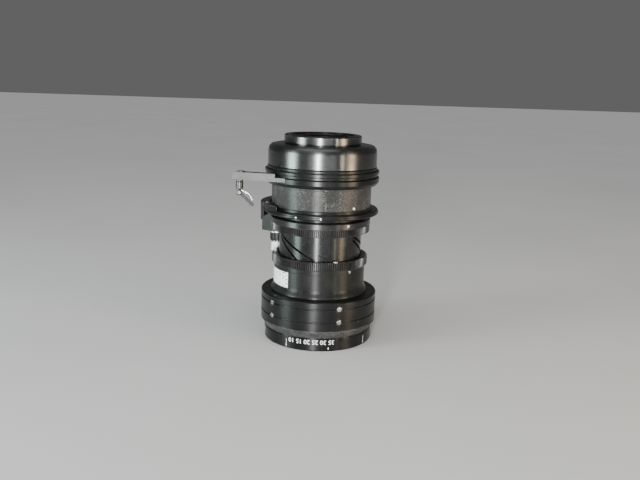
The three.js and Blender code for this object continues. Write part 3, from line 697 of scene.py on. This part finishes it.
def add_front_barrel():
    z0, z1 = span("front_barrel")
    radius = reach("front_barrel")
    lower, upper = [arc((radius, z), GROOVE, 270, 90, 8) for z in sorted(GROOVES)]
    barrel = turned("front_barrel_grooved", [
        (52.5, z0), (radius, z0), *lower, *upper, (radius, z1 - 0.9), (radius - 0.9, z1), (44, z1),
        (44, z1 - 3.5), (52.5, z1 - 3.5)], 0.2)
    spots = [(azimuth, z) for azimuth in FRONT_SCREW_AZIMUTHS for z in GROOVES]
    small_spots = [(43, GROOVES[1] - 2.2), (67, 36), (-137, 36)]
    cutters = [pocket(2.9, 2.2, outward(radius, azimuth, z)) for azimuth, z in spots]
    cutters += [pocket(0.9, 1.5, outward(radius, azimuth, z)) for azimuth, z in small_spots]
    dress(carve(barrel, *cutters), "satin", "front_barrel")
    for i, (azimuth, z) in enumerate(spots, start=1):
        place = outward(radius - 0.35, azimuth, z) @ spin(50 * i)
        dress(slotted_screw(f"front_barrel_screw_{i}", 2.25, 1.4, place, 0.08), "steel",
              body="front_group")
    for i, (azimuth, z) in enumerate(small_spots, start=1):
        place = outward(radius - 0.6, azimuth, z)
        dress(socket_screw(f"front_barrel_grub_{i}", 0.8, 0.8, place), "steel", body="front_group")


def add_taper_ring():
    z0, z1 = span("taper_ring")
    low, high = 53.9, reach("taper_ring")
    ring = turned("taper_ring_turned", [
        (48, z0), (low - 0.6, z0), (low - 0.6, z0 + 0.5), (low, z0 + 0.9), (high, z1 - 1.2),
        (high, z1 - 0.5), (high - 0.7, z1 - 0.4), (high - 0.7, z1), (48, z1)], 0.15)
    dress(ring, "dusty", "taper_ring")


def add_lower_barrel():
    z0, z1 = span("lower_barrel")
    radius, foot = 45.2, reach("lower_barrel")
    bore = 43.4
    barrel = turned("lower_barrel_turned", [
        (bore, z0), (foot, z0), (foot, z0 + 1.2, 0.8), (47, z0 + 3.2, 1), (45.9, z0 + 5, 1),
        (radius, z0 + 7.6), (radius, 71.9), (radius - 0.25, 72.1), (radius - 0.25, 72.4),
        (radius, 72.6), (radius, z1), (bore, z1)])
    place = outward(radius, 41, 74)
    carve(barrel, pocket(1.6, 1.4, place))
    dress(barrel, "fine_turned", "lower_barrel")
    screw = slotted_screw("focus_set_screw_head", 1.35, 1, place @ raised(-0.15), 0.1)
    dress(screw, "steel", "focus_set_screw")
    sticker("lower_barrel_sticker", radius, -90, -41, 55.6, 71.6, body="front_group")


def sticker(name, radius, start, end, z0, z1, place=UNMOVED, body="housing"):
    """A thin sticker round part of a cylinder, with UVs that run along it and up it."""
    obj = arc_block(name, radius, radius + 0.12, start, end, z0, z1, place, 24)
    flat = place.inverted()
    uv = obj.data.uv_layers.new(name="print")
    for loop in obj.data.loops:
        point = flat @ ((obj.data.vertices[loop.vertex_index].co - AXIS) / MM)
        uv.data[loop.index].uv = ((azimuth_at(point) - start) / (end - start), (point.z - z0) / (z1 - z0))
    dress(obj, "sticker", body=body)


def add_front_optics():
    dress(turned("front_cell_turned", [
        (44.4, 21.3), (52.2, 21.3), (52.2, 45.2), (38.6, 45.2), (38.6, 32.8), (44.4, 32.8)]),
        "inner", "front_cell")
    z0, z1 = span("front_retaining_ring")
    ring = tube("front_retaining_ring_turned", 44.5, 47.3, z0, z1)
    slots = radial_slots((45, 225), -2, 4, 1, z0 - 1, z0 + 1.2, 46)
    dress(carve(ring, *slots), "inner", "front_retaining_ring")
    lens_element("front_glass", 47.2, 3, 7.4, 19, -2.5)
    lens_element("middle_glass", 44, 23.4, -1.8, 31.6, -3.4)
    lens_element("inner_glass", 38.2, 35.2, 2.2, 42.2, 2.4)


# ---- Focus ring ----

FOCUS_TEETH = 156
ZOOM_TEETH = 160
ZOOM_PINION_TEETH = 20


def add_focus_ring():
    z0, z1 = 76.8, span("focus_gear_ring")[1]
    inner = 41.2
    azimuths, radii = gear_outline(FOCUS_TEETH, azimuth_of("focus_pinion"))
    ring = swept("focus_gear_toothed", azimuths, [
        (inner, z0 + 0.2), (43, z0), *toothed_rows(radii, z0, z1), (42.4, z1), (42.1, z1 - 0.7),
        (inner, z1 - 0.7)])
    sleeve = tube("sleeve", inner, 43, span("focus_gear_ring")[0], z0 + 0.5, 0)
    keyways = radial_slots((60, 180, 300), 40, 45, 2.3, 56, 66.5)
    carve(ring, sleeve, operation="UNION")
    dress(carve(ring, *keyways), "teeth", "focus_gear_ring")
    for i, azimuth in enumerate((20, 140, 260), start=1):
        place = upright(44.6, azimuth, z1 + 1.1) @ spin(35 * i)
        dress(slotted_screw(f"focus_ring_screw_{i}", 2.6, 1.1, place, 0.6), "steel", body="focus_ring")


# ---- Zoom barrel ----

FOLLOWERS = [-8, 112, 232]  # azimuths of the follower pins with the zoom at its lower end
ZOOM_TURN = math.radians(60)
VARIATOR = {"z": 86, "lead": 20}  # height of the pins, and millimetres along the axis per radian
COMPENSATOR = {"z": 72, "lead": 30}
PIN_RADIUS = 0.8
SLOT_HALF = PIN_RADIUS + GAP


def helical_cutter(pin_azimuth, pin_z, lead, turn, half, inner, outer):
    """A cutter with round ends that follows a helix, rising as the azimuth falls."""
    length = math.hypot(outer, lead)
    across = Vector((lead, outer)) * (1 / length)
    total = turn * length
    end_steps, steps = 5, 40
    quarters = [math.pi / 2 * k / end_steps for k in range(end_steps + 1)]
    marks = [-half * math.cos(angle) for angle in quarters]
    marks += [total * k / steps for k in range(1, steps)]
    marks += [total + half * math.sin(angle) for angle in quarters]
    vertices = []
    for mark in marks:
        beyond = max(0, -mark, mark - total)
        width = max(0.12, math.sqrt(max(0, half ** 2 - beyond ** 2)))
        along = mark / length
        for side, radii in ((-1, (inner, outer)), (1, (outer, inner))):
            arc = -outer * along + side * width * across.x
            z = pin_z + lead * along + side * width * across.y
            azimuth = pin_azimuth + math.degrees(arc / outer)
            vertices += [round_point(radius, azimuth, z) for radius in radii]
    return piece("helical_cutter", vertices, loop_faces(4, len(marks)))


def add_cam_barrel():
    z0, z1 = span("cam_barrel")
    inner, outer = 38.1, 40.7
    barrel = tube("cam_barrel_slotted", inner, outer, z0, z1)
    cutters = [helical_cutter(azimuth, cam["z"], cam["lead"], ZOOM_TURN, SLOT_HALF, inner - 1,
                              outer + 0.6)
               for cam in (VARIATOR, COMPENSATOR) for azimuth in FOLLOWERS]
    grooves = [helical_cutter(azimuth + 22, VARIATOR["z"], VARIATOR["lead"], math.radians(15), 0.6,
                              outer - 1.7, outer + 0.6) for azimuth in FOLLOWERS]
    dress(carve(barrel, *cutters, *grooves), "cam", "cam_barrel")


def add_zoom_ring():
    z0, z1 = span("zoom_gear_ring")
    teeth_top = 116.8
    band = 49
    inner = 41
    azimuths, radii = gear_outline(ZOOM_TEETH, azimuth_of("zoom_pinion"))
    ring = swept("zoom_gear_toothed", azimuths, [
        (inner, z0), (43, z0), *toothed_rows(radii, z0, teeth_top - 0.3), (47.6, teeth_top - 0.3),
        (47.6, teeth_top), (band - 0.35, teeth_top), (band, teeth_top + 0.35), (band, z1 - 0.6),
        (band - 0.6, z1), (inner, z1)])
    spots = [outward(band, azimuth_of(f"zoom_ring_screw_{i}"), 119.7) for i in (1, 2, 3)]
    dress(carve(ring, *[pocket(1.8, 1.6, place) for place in spots]), "teeth", "zoom_gear_ring")
    for i, place in enumerate(spots, start=1):
        screw = socket_screw(f"zoom_ring_grub_{i}", 1.5, 1.2, place @ raised(-0.4))
        dress(screw, "steel", f"zoom_ring_screw_{i}")


# ---- Sliding groups ----

def add_sliding_group(name, pin_z, element):
    z0, z1 = span(f"{name}_cell")
    seat = 30.4
    cell = turned(f"{name}_cell_turned", [
        (seat, z0), (33.4, z0), (34.4, z0 + 0.8), (34.4, z1 - 0.8), (33.4, z1), (seat, z1)],
        0.1, 96)
    holes = [pocket(SLOT_HALF, 6, outward(35.5, azimuth, pin_z)) for azimuth in FOLLOWERS]
    dress(carve(cell, *holes), "inner", f"{name}_cell")
    z0, z1 = span(f"{name}_retaining_ring")
    dress(tube(f"{name}_retaining_ring_turned", 27.6, seat - GAP, z0, z1, 0.1, 96), "inner",
          f"{name}_retaining_ring")
    for i, azimuth in enumerate(FOLLOWERS, start=1):
        pin = small_turned(f"{name}_pin_{i}_turned", [
            (0, -8.8), (PIN_RADIUS, -8.8), (PIN_RADIUS, 0, 0.3), (0, 0)], 0.1,
            outward(40.4, azimuth, pin_z))
        dress(pin, "bronze", f"{name}_pin_{i}")
    lens_element(f"{name}_glass", *element)


# ---- Housing ----

def add_inner_housing():
    z0, z1 = span("helicoid_ring")
    dress(tube("helicoid_ring_turned", 37.9, 43, z0, z1), "brass", "helicoid_ring")
    z0, z1 = span("guide_tube")
    guide = turned("guide_tube_slotted", [
        (34.8, z0), (37.6, z0), (37.6, z1 - 3), (45, z1 - 3), (45, z1), (34.8, z1)], 0.1)
    top = VARIATOR["z"] + VARIATOR["lead"] * ZOOM_TURN + 2
    foot = COMPENSATOR["z"] - 2
    dress(carve(guide, *radial_slots(FOLLOWERS, 33, 40, SLOT_HALF, foot, top)), "inner", "guide_tube")
    z0, z1 = span("rear_cell")
    cell = turned("rear_cell_turned", [
        (30, z0), (33.2, z0), (33.2, 168), (45, 168), (45, 172), (33.2, 172), (33.2, z1), (30, z1)],
        0.1)
    dress(cell, "inner", "rear_cell")
    z0, z1 = span("aperture_stop")
    dress(turned("aperture_stop_turned", [(18, z0 + 0.6), (29.7, z0), (29.7, z1), (18, z1 - 0.5)], 0.05,
                 96), "inner", "aperture_stop")
    z0, z1 = span("rear_retaining_ring")
    ring = tube("rear_retaining_ring_turned", 27.5, 29.7, z0, z1, 0.15, 96)
    slots = radial_slots((60, 240), 26, 31, 0.9, z1 - 1.1, z1 + 1)
    dress(carve(ring, *slots), "inner", "rear_retaining_ring")
    lens_element("rear_glass", 29.6, 188, 3.5, 200, -3.5)
    lens_element("relay_glass", 29.6, 156, 2, 165, -2.5)


def add_rear_end():
    z0, z1 = span("rear_ring")
    radius = reach("rear_ring")
    thread = []
    for i in range(6):
        z = z1 - 1.6 - 0.9 * i
        thread += [(30.6, z), (30.05, z - 0.45)]
    liner, rim = 34, z1 - 1.3
    dress(turned("rear_ring_wall", [
        (liner, z0), (radius - 0.6, z0), (radius - 0.6, z0 + 0.7), (radius, z0 + 1), (radius, rim),
        (liner, rim)], 0.12), "silver", "rear_ring")
    dress(turned("rear_ring_liner", [
        (30.05, z0), (liner - 0.02, z0), (liner - 0.02, rim + 0.02), (radius - 0.15, rim + 0.02),
        (radius - 0.5, z1 - 0.5), (radius - 1.2, z1, 0.3), (31, z1, 0.3), *thread], 0.12),
        "satin", "rear_ring")
    z0, z1 = span("rear_shroud")
    radius, wall = 53, 2.6
    crown = 9.5
    dress(turned("rear_shroud_polished", [
        (radius, z0), (radius, z1 - 0.01, crown), (36.6, z1), (35.4, z1 + 0.28), (34.2, z1 + 0.28),
        (33.6, z1 - 0.3), (33.6, z1 - wall), (radius - wall, z1 - wall, crown - wall),
        (radius - wall, z0)], 0.15), "polished", "rear_shroud")


def add_mounting_rings():
    z0, z1 = span("mounting_flange")
    bore = 49.1
    seat, radius, spigot = 169.8, reach("mounting_flange"), 53.5
    dress(turned("mounting_flange_rings", [
        (bore, z0), (54, z0), (54, 166.2), (radius - 0.5, 166.2), (radius, 166.8),
        (radius, seat - 0.6), (radius - 0.6, seat), (spigot - 0.7, seat), (spigot - 0.7, seat + 0.5),
        (spigot, seat + 0.6), (spigot, z1 - 0.7), (spigot - 0.5, z1), (bore, z1)], 0.18),
        "satin", "mounting_flange")


ARM = {"turn": -12.4, "length": 52.2, "depth": 9, "tongue": 10.6}
ARM_ROOT = Vector((-33.6, -40.3, 0))


def arm_frame():
    return Matrix.Translation(ARM_ROOT) @ spin(ARM["turn"])


def add_arm_ring():
    z0, z1 = span("arm_ring")
    radius = reach("arm_ring")
    ring = turned("arm_ring_bevelled", [
        (49.1, z0), (53.4, z0), (radius, z0 + 3.2), (radius, z1 - 0.6), (radius - 0.6, z1),
        (49.1, z1)], 0.2)
    base = span("lock_arm")[0]
    slot = block("slot", -20, GAP, -12, ARM["depth"] + GAP, base - GAP, z1 + 1, arm_frame())
    dress(carve(ring, slot), "satin", "arm_ring")


def add_lock_arm():
    base, top = span("lock_arm")
    tongue_top = 163.2
    corner = 4
    length, tongue = ARM["length"], ARM["tongue"]
    outline = [(0, base), (-length, base), *arc((corner - length, top - corner), corner, 180, 90, 8),
               (-tongue, top), (-tongue, tongue_top), (0, tongue_top)]
    arm = prism("lock_arm_bar", outline, -ARM["depth"], 0, arm_frame() @ spin(90, "X"))
    rings = cylinder(56.1, tongue_top + 0.2, 175, segments=SEGMENTS)
    barrel = cylinder(49.1, 150, 170, segments=SEGMENTS)
    dress(bevelled(carve(arm, rings, barrel), 0.35), "blasted", "lock_arm")
    post = (middle("lock_post") - AXIS) / MM
    place = Matrix.Translation((post.x + 1.5, post.y, top + 0.85))
    dress(slotted_screw("lock_arm_screw", 3.3, 1, place, 0.2), "dark_steel")


POST = {"x": -77.8, "y": -26, "radius": 3.4}
PIVOT_Z = 147


def along_y(y):
    """A frame on the lever's pivot whose +Z points to the front."""
    return Matrix.Translation((POST["x"], y, PIVOT_Z)) @ spin(90, "X")


def add_lock_post():
    x, y, radius = POST["x"], POST["y"], POST["radius"]
    foot = 150.3
    top = span("lock_post")[1]
    axis = Matrix.Translation((x, y, 0))
    post = small_turned("lock_post_turned", [
        (0, foot), (radius - 0.5, foot), (radius, foot + 0.6), (radius, top - 2.2),
        (radius - 0.4, top - 2), (radius - 0.4, top - 1.5), (radius, top - 1.3), (radius, top),
        (0, top)], 0.15, axis)
    cheek = block("cheek", x - 2.6, x + 2.6, y, y + 2, PIVOT_Z - 2.8, foot + 0.5)
    hole = cylinder(1.4, -4, 1, along_y(y))
    carve(post, bevelled(cheek, 0.4), operation="UNION")
    dress(carve(post, hole), "dark_steel", "lock_post")
    front = y - GAP - 1.6 - GAP - 1
    dress(small_turned("lock_pivot_pin", [
        (0, -4.4), (1.1, -4.4), (1.1, 0), (2.3, 0), (2.3, 0.7), (1.7, 1), (0, 1)], 0.1,
        along_y(front + 1)), "dark_steel", "lock_pivot")


LEVER = {"length": 18.3, "width": 2.8, "thickness": 1.6, "slope": -42.6}


def add_lock_lever():
    back = POST["y"] - GAP
    half = LEVER["width"] / 2
    length, thick = LEVER["length"], LEVER["thickness"]
    place = along_y(back) @ spin(LEVER["slope"])
    eye = small_turned("lock_lever_blade", [(0, 0), (2.8, 0), (2.8, thick), (0, thick)], 0.2, place)
    tip = arc((length - half, 0), half, 90, -90, 9)
    blade = prism("blade", [(0, half), *tip, (0, -half)], 0, thick, place)
    hole = cylinder(1.4, -1, 3, place)
    carve(eye, blade, operation="UNION")
    dress(bevelled(carve(eye, hole), 0.2), "lever", "lock_lever")
    points = [(2.1, 2.3), (4.2, 0.8), (6.8, -0.1), (9.6, -1.7), (11.2, -4.2), (11.9, -7)]
    spring = wire("lever_spring_wire", [
        (POST["x"] + x, back - thick / 2, PIVOT_Z + z) for x, z in points], 0.65)
    dress(spring, "steel", "lever_spring")


def add_rear_barrel():
    z0, z1 = span("rear_barrel")
    radius = 48.8
    dress(turned("rear_barrel_turned", [
        (45.3, z0), (radius, z0), (radius, 152.9), (radius - 0.3, 153.1), (radius - 0.3, 153.5),
        (radius, 153.7), (radius, z1), (45.3, z1)], 0.12), "dusty", "rear_barrel")


# ---- Drives ----

PAD = {"inner": 51, "outer": 57.2, "end_x": -41.5, "wall": 59.5, "top": 136}
FLANGE_TOP = 131.7
FLANGE_BASE = 127.2
CLEAR_OF_RINGS = 49.8
SCREW_CIRCLE = MODULE * (ZOOM_TEETH + ZOOM_PINION_TEETH) / 2  # the zoom pinion stands on it too


def screw_azimuths():
    return [azimuth_of(f"zoom_housing_screw_{i}") for i in (1, 2)]


def add_drive_flange():
    radius = 56.5
    disc = turned("drive_flange_disc", [
        (41.2, 123.2), (44, 123.2), (44, FLANGE_BASE), (radius - 0.7, FLANGE_BASE),
        (radius, FLANGE_BASE + 0.7), (radius, FLANGE_BASE + 2.2), (radius - 0.4, FLANGE_BASE + 2.5),
        (radius - 0.4, FLANGE_TOP - 0.9), (radius - 1.3, FLANGE_TOP), (50.6, FLANGE_TOP),
        (50.6, 134), (49.1, 134.2), (49.1, 131), (41.2, 131)], 0.18)
    lug = block("lug", -12, 12, 51, 66, FLANGE_BASE, FLANGE_TOP)
    carve(disc, bevelled(lug, 0.6), operation="UNION")
    holes = [cylinder(1.9, 128, 140, on_axis(azimuth, SCREW_CIRCLE)) for azimuth in screw_azimuths()]
    rim_spots = [outward(radius, azimuth, FLANGE_BASE + 1.5) for azimuth in (-24, 0, 120)]
    cutters = [pocket(0.95, 1.6, place) for place in rim_spots]
    dress(carve(disc, *holes, *cutters), "satin", "drive_flange")
    for i, place in enumerate(rim_spots, start=1):
        dress(slotted_screw(f"drive_flange_grub_{i}", 0.85, 1, place @ raised(-0.15), 0.05), "steel")
    for i, azimuth in enumerate((39, 159), start=1):
        place = outward(49.6, azimuth, 136.4)
        dress(slotted_screw(f"rear_barrel_screw_{i}", 1.5, 0.9, place, 0.2), "steel")


def housing_block(name, azimuth, outer, half, base):
    """A gear housing's block under the drive flange, hollowed to clear the turning rings."""
    top = FLANGE_BASE - GAP
    body = block(f"{name}_gear_housing_body", 44, outer, -half, half, base, top, upright(0, azimuth))
    return carve(body, cylinder(CLEAR_OF_RINGS, base - 1, top + 1, segments=SEGMENTS))


def add_zoom_housing():
    azimuth = azimuth_of("zoom_pinion")
    body = housing_block("zoom", azimuth, 64, 13, 101)
    wall = arc_block("wall", PAD["outer"] - 0.4, PAD["wall"], -78, -150, 119, PAD["top"])
    pad = arc_block("pad", PAD["inner"], PAD["outer"], -40, -150, FLANGE_TOP + GAP, PAD["top"])
    carve(pad, block("end", PAD["end_x"], 0, -60, 0, FLANGE_TOP, PAD["top"] + 1))
    carve(body, wall, operation="UNION")
    carve(body, pad, operation="UNION")
    bevelled(body, 0.35)
    axis = on_axis(azimuth, SCREW_CIRCLE)
    gear_room = cylinder(7.4, 107.5, 118.5, axis)
    bore = cylinder(1.9, 100, 121.6, axis)
    tops = [upright(SCREW_CIRCLE, turn, PAD["top"]) for turn in screw_azimuths()]
    recesses = [pocket(3.4, 3.4, place) for place in tops]
    holes = [pocket(1.8, 6, place) for place in tops]
    dress(carve(body, gear_room, bore, *recesses, *holes), "satin", "zoom_gear_housing")
    for i, turn in enumerate(screw_azimuths(), start=1):
        seat = upright(SCREW_CIRCLE, turn, PAD["top"] - 0.1)
        screw = socket_screw(f"zoom_housing_cap_screw_{i}", 2.6, 3, seat)
        shank = small_turned("shank", [(0, 128.8), (1.5, 128.8), (1.5, 133.5), (0, 133.5)], 0.2,
                             on_axis(turn, SCREW_CIRCLE))
        # the cap screw heads carry a painted highlight in their near-white colour
        dress(carve(screw, shank, operation="UNION"), "painted_highlight_zinc", f"zoom_housing_screw_{i}")


def add_motor(name, axis, base, top, turn):
    """A motor can with a crimped end and a sticker round it."""
    radius = 6
    can = small_turned(f"{name}_motor_can", [
        (0, base), (radius - 1.2, base), (radius - 1.2, base + 0.5), (radius - 0.4, base + 0.5),
        (radius, base + 0.9), (radius, top), (0, top)], 0.15, axis)
    dress(can, "can", f"{name}_motor")
    sticker(f"{name}_motor_sticker", radius, turn - 100, turn + 100, base + 1.6, top - 1.4, axis)


def add_gearbox(name, axis, base, top, neck):
    dress(small_turned(f"{name}_gearbox_body", [
        (0, base), (7.2, base), (7.2, base + 1.6), (7.5, base + 1.8), (7.5, top - 0.3), (neck, top),
        (0, top)], 0.12, axis), "dark_can", f"{name}_gearbox")


def add_zoom_drive():
    axis = on_axis(azimuth_of("zoom_pinion"), SCREW_CIRCLE)
    box_base, box_top = span("zoom_gearbox")
    collar = box_top - 2.1
    add_gearbox("zoom", axis, box_base, collar, 7)
    dress(small_turned("zoom_gearbox_collar", [
        (0, collar + 0.02), (8.7, collar + 0.02), (9, collar + 0.3), (9, box_top), (0, box_top)],
        0.1, axis), "steel")
    add_motor("zoom", axis, 78, box_base - GAP, -20)
    boss = small_turned("zoom_motor_boss", [
        (0, 76.8), (2.3, 76.8), (2.5, 77.1), (2.5, 78.2), (0, 78.2)], 0.1, axis)
    dress(boss, "can")
    add_leads(axis)
    add_pinion("zoom", ZOOM_PINION_TEETH, axis, 109.2, 116.3, 101, 121.2)


def add_leads(axis):
    """Two short leads that leave the motor's end and run up its back to the gear housing."""
    for side, look in ((-1, "lead_black"), (1, "lead_white")):
        points = [(side * 1.6, -1, 77.4), (side * 2.6, -3, 75.4), (side * 3.2, -1, 73.6),
                  (side * 3.4, 4, 74.2), (side * 2.8, 7.2, 78), (side * 1.4, 8.6, 85),
                  (side * 1.1, 8.6, 94), (side * 1.1, 9.8, 98), (side * 1.1, 9.9, 101)]
        places = [axis @ Vector(point) for point in points]
        dress(wire(f"zoom_motor_{look}", places, 0.55), look)


def add_pinion(name, teeth, axis, z0, z1, shaft_base, shaft_top):
    """A pinion, turned so that one tooth stands in the gap that its ring has there."""
    inwards = azimuth_of(f"{name}_pinion") + 180
    azimuths, radii = gear_outline(teeth, inwards + 180 / teeth, tip=0.8)
    pinion = swept(f"{name}_pinion_toothed", azimuths, [
        (0, shaft_base), (1.3, shaft_base), (1.5, shaft_base + 0.3), (1.5, z0),
        *toothed_rows(radii, z0, z1, 0.25), (1.5, z1), (1.5, shaft_top - 0.3), (1.3, shaft_top),
        (0, shaft_top)], axis)
    dress(pinion, "brass", f"{name}_pinion")


def add_focus_drive():
    """The focus drive stands behind the lens: its housing hangs from the drive flange's lug."""
    azimuth = azimuth_of("focus_pinion")
    axis = on_axis(azimuth, (middle("focus_pinion") - AXIS).xy.length / MM)
    base = 97
    body = bevelled(housing_block("focus", azimuth, 66, 12, base), 0.5)
    room = cylinder(6.4, base - 1, 123.8, axis)
    screw_place = upright(62, azimuth)
    hole = cylinder(1.8, 124, FLANGE_BASE - GAP + 1, screw_place)
    dress(carve(body, room, hole), "satin", "focus_gear_housing")
    seat = screw_place @ raised(FLANGE_TOP + GAP + 3)
    screw = socket_screw("focus_housing_cap_screw", 2.8, 3, seat)
    # the cap screw head carries a painted highlight in its near-white colour
    dress(screw, "painted_highlight_zinc", "focus_housing_screw")
    add_gearbox("focus", axis, *span("focus_gearbox"), 7.2)
    can = small_turned("focus_motor_can", [
        (0, base), (6, base), (6, 123), (5.5, 123.5), (0, 123.5)], 0.15, axis)
    dress(can, "can", "focus_motor")
    add_pinion("focus", 33, axis, 76.9, 85, 77, 86.1)


# ---- Stage ----

def add_floor():
    size = 8
    mesh = bpy.data.meshes.new("floor")
    corners = rectangle(-size, size, -size, size)
    mesh.from_pydata([(x, y, 0) for x, y in corners], [], [(0, 1, 2, 3)])
    floor = link("floor", mesh)
    mesh.materials.append(pale_floor())


PANEL_Z = 0.18  # middle of the upright panels, in metres like their other sizes
PANEL_HEIGHT = 0.34
WHITE = (1, 1, 1)
PANELS = {  # azimuth, distance, width, watts and colour
    "key_strip": (-8.5, 1.3, 0.08, 24, WHITE),
    "key_halo": (-8.5, 1.32, 0.34, 4, WHITE),
    "left_panel": (-64, 1.2, 0.3, 12, (0.82, 1.0, 0.93)),
    "left_halo": (-64, 1.22, 0.62, 4, (0.85, 1.0, 0.96)),
    "right_panel": (61, 1.2, 0.24, 6, (1.0, 0.76, 0.48)),
    "right_halo": (61, 1.22, 0.5, 3, (1.0, 0.85, 0.65)),
    "right_line": (41, 1.2, 0.05, 2.6, (1.0, 0.93, 0.72)),
    "front_fill": (0, 1.6, 1.7, 6, (0.95, 1.0, 1.04)),
}


def add_lights():
    """A soft overhead light, and low upright panels whose reflections run down the barrels."""
    sun = bpy.data.lights.new("overhead", "SUN")
    sun.angle = math.radians(60)
    sun.energy = 1.35
    link("overhead", sun).rotation_euler = (math.radians(14), math.radians(-8), 0)
    centre = AXIS + Vector((0, 0, 0.1))
    for name, (azimuth, distance, width, power, colour) in PANELS.items():
        data = bpy.data.lights.new(name, "AREA")
        data.shape = "RECTANGLE"
        data.size = width
        data.size_y = PANEL_HEIGHT
        data.energy = power
        data.color = colour
        light = link(name, data)
        light.location = AXIS + round_point(distance, azimuth, PANEL_Z)
        light.rotation_euler = (centre - light.location).to_track_quat("-Z", "Y").to_euler()
    world = bpy.data.worlds.new("studio")
    world.use_nodes = True
    supply(world.node_tree, world.node_tree.nodes["Background"], {"Color": grey(0.5), "Strength": 0.25})
    bpy.context.scene.world = world


CAMERA = {"distance": 722.9, "height": 253.5, "target": 97.5, "roll": 1.84, "lens": 41.7}


def add_camera():
    data = bpy.data.cameras.new("camera")
    data.lens = CAMERA["lens"]
    data.sensor_width = 36
    camera = link("camera", data)
    camera.location = AXIS + Vector((0, -CAMERA["distance"], CAMERA["height"])) * MM
    target = AXIS + Vector((0, 0, CAMERA["target"])) * MM
    facing = (target - camera.location).to_track_quat("-Z", "Y").to_matrix().to_4x4()
    rolled = facing @ spin(CAMERA["roll"])
    camera.rotation_euler = rolled.to_euler()
    bpy.context.scene.camera = camera


add_camera()
add_floor()
add_lights()
add_front_ring()
add_taper_ring()
add_front_barrel()
add_lower_barrel()
add_front_optics()
add_focus_ring()
add_cam_barrel()
add_zoom_ring()
add_sliding_group("variator", VARIATOR["z"], (30.1, 89.5, -2.4, 93, 2.4))
add_sliding_group("compensator", COMPENSATOR["z"], (30.1, 60.8, 2.2, 69.6, -2))
add_inner_housing()
add_rear_end()
add_mounting_rings()
add_arm_ring()
add_lock_arm()
add_lock_post()
add_lock_lever()
add_rear_barrel()
add_drive_flange()
add_zoom_housing()
add_zoom_drive()
add_focus_drive()
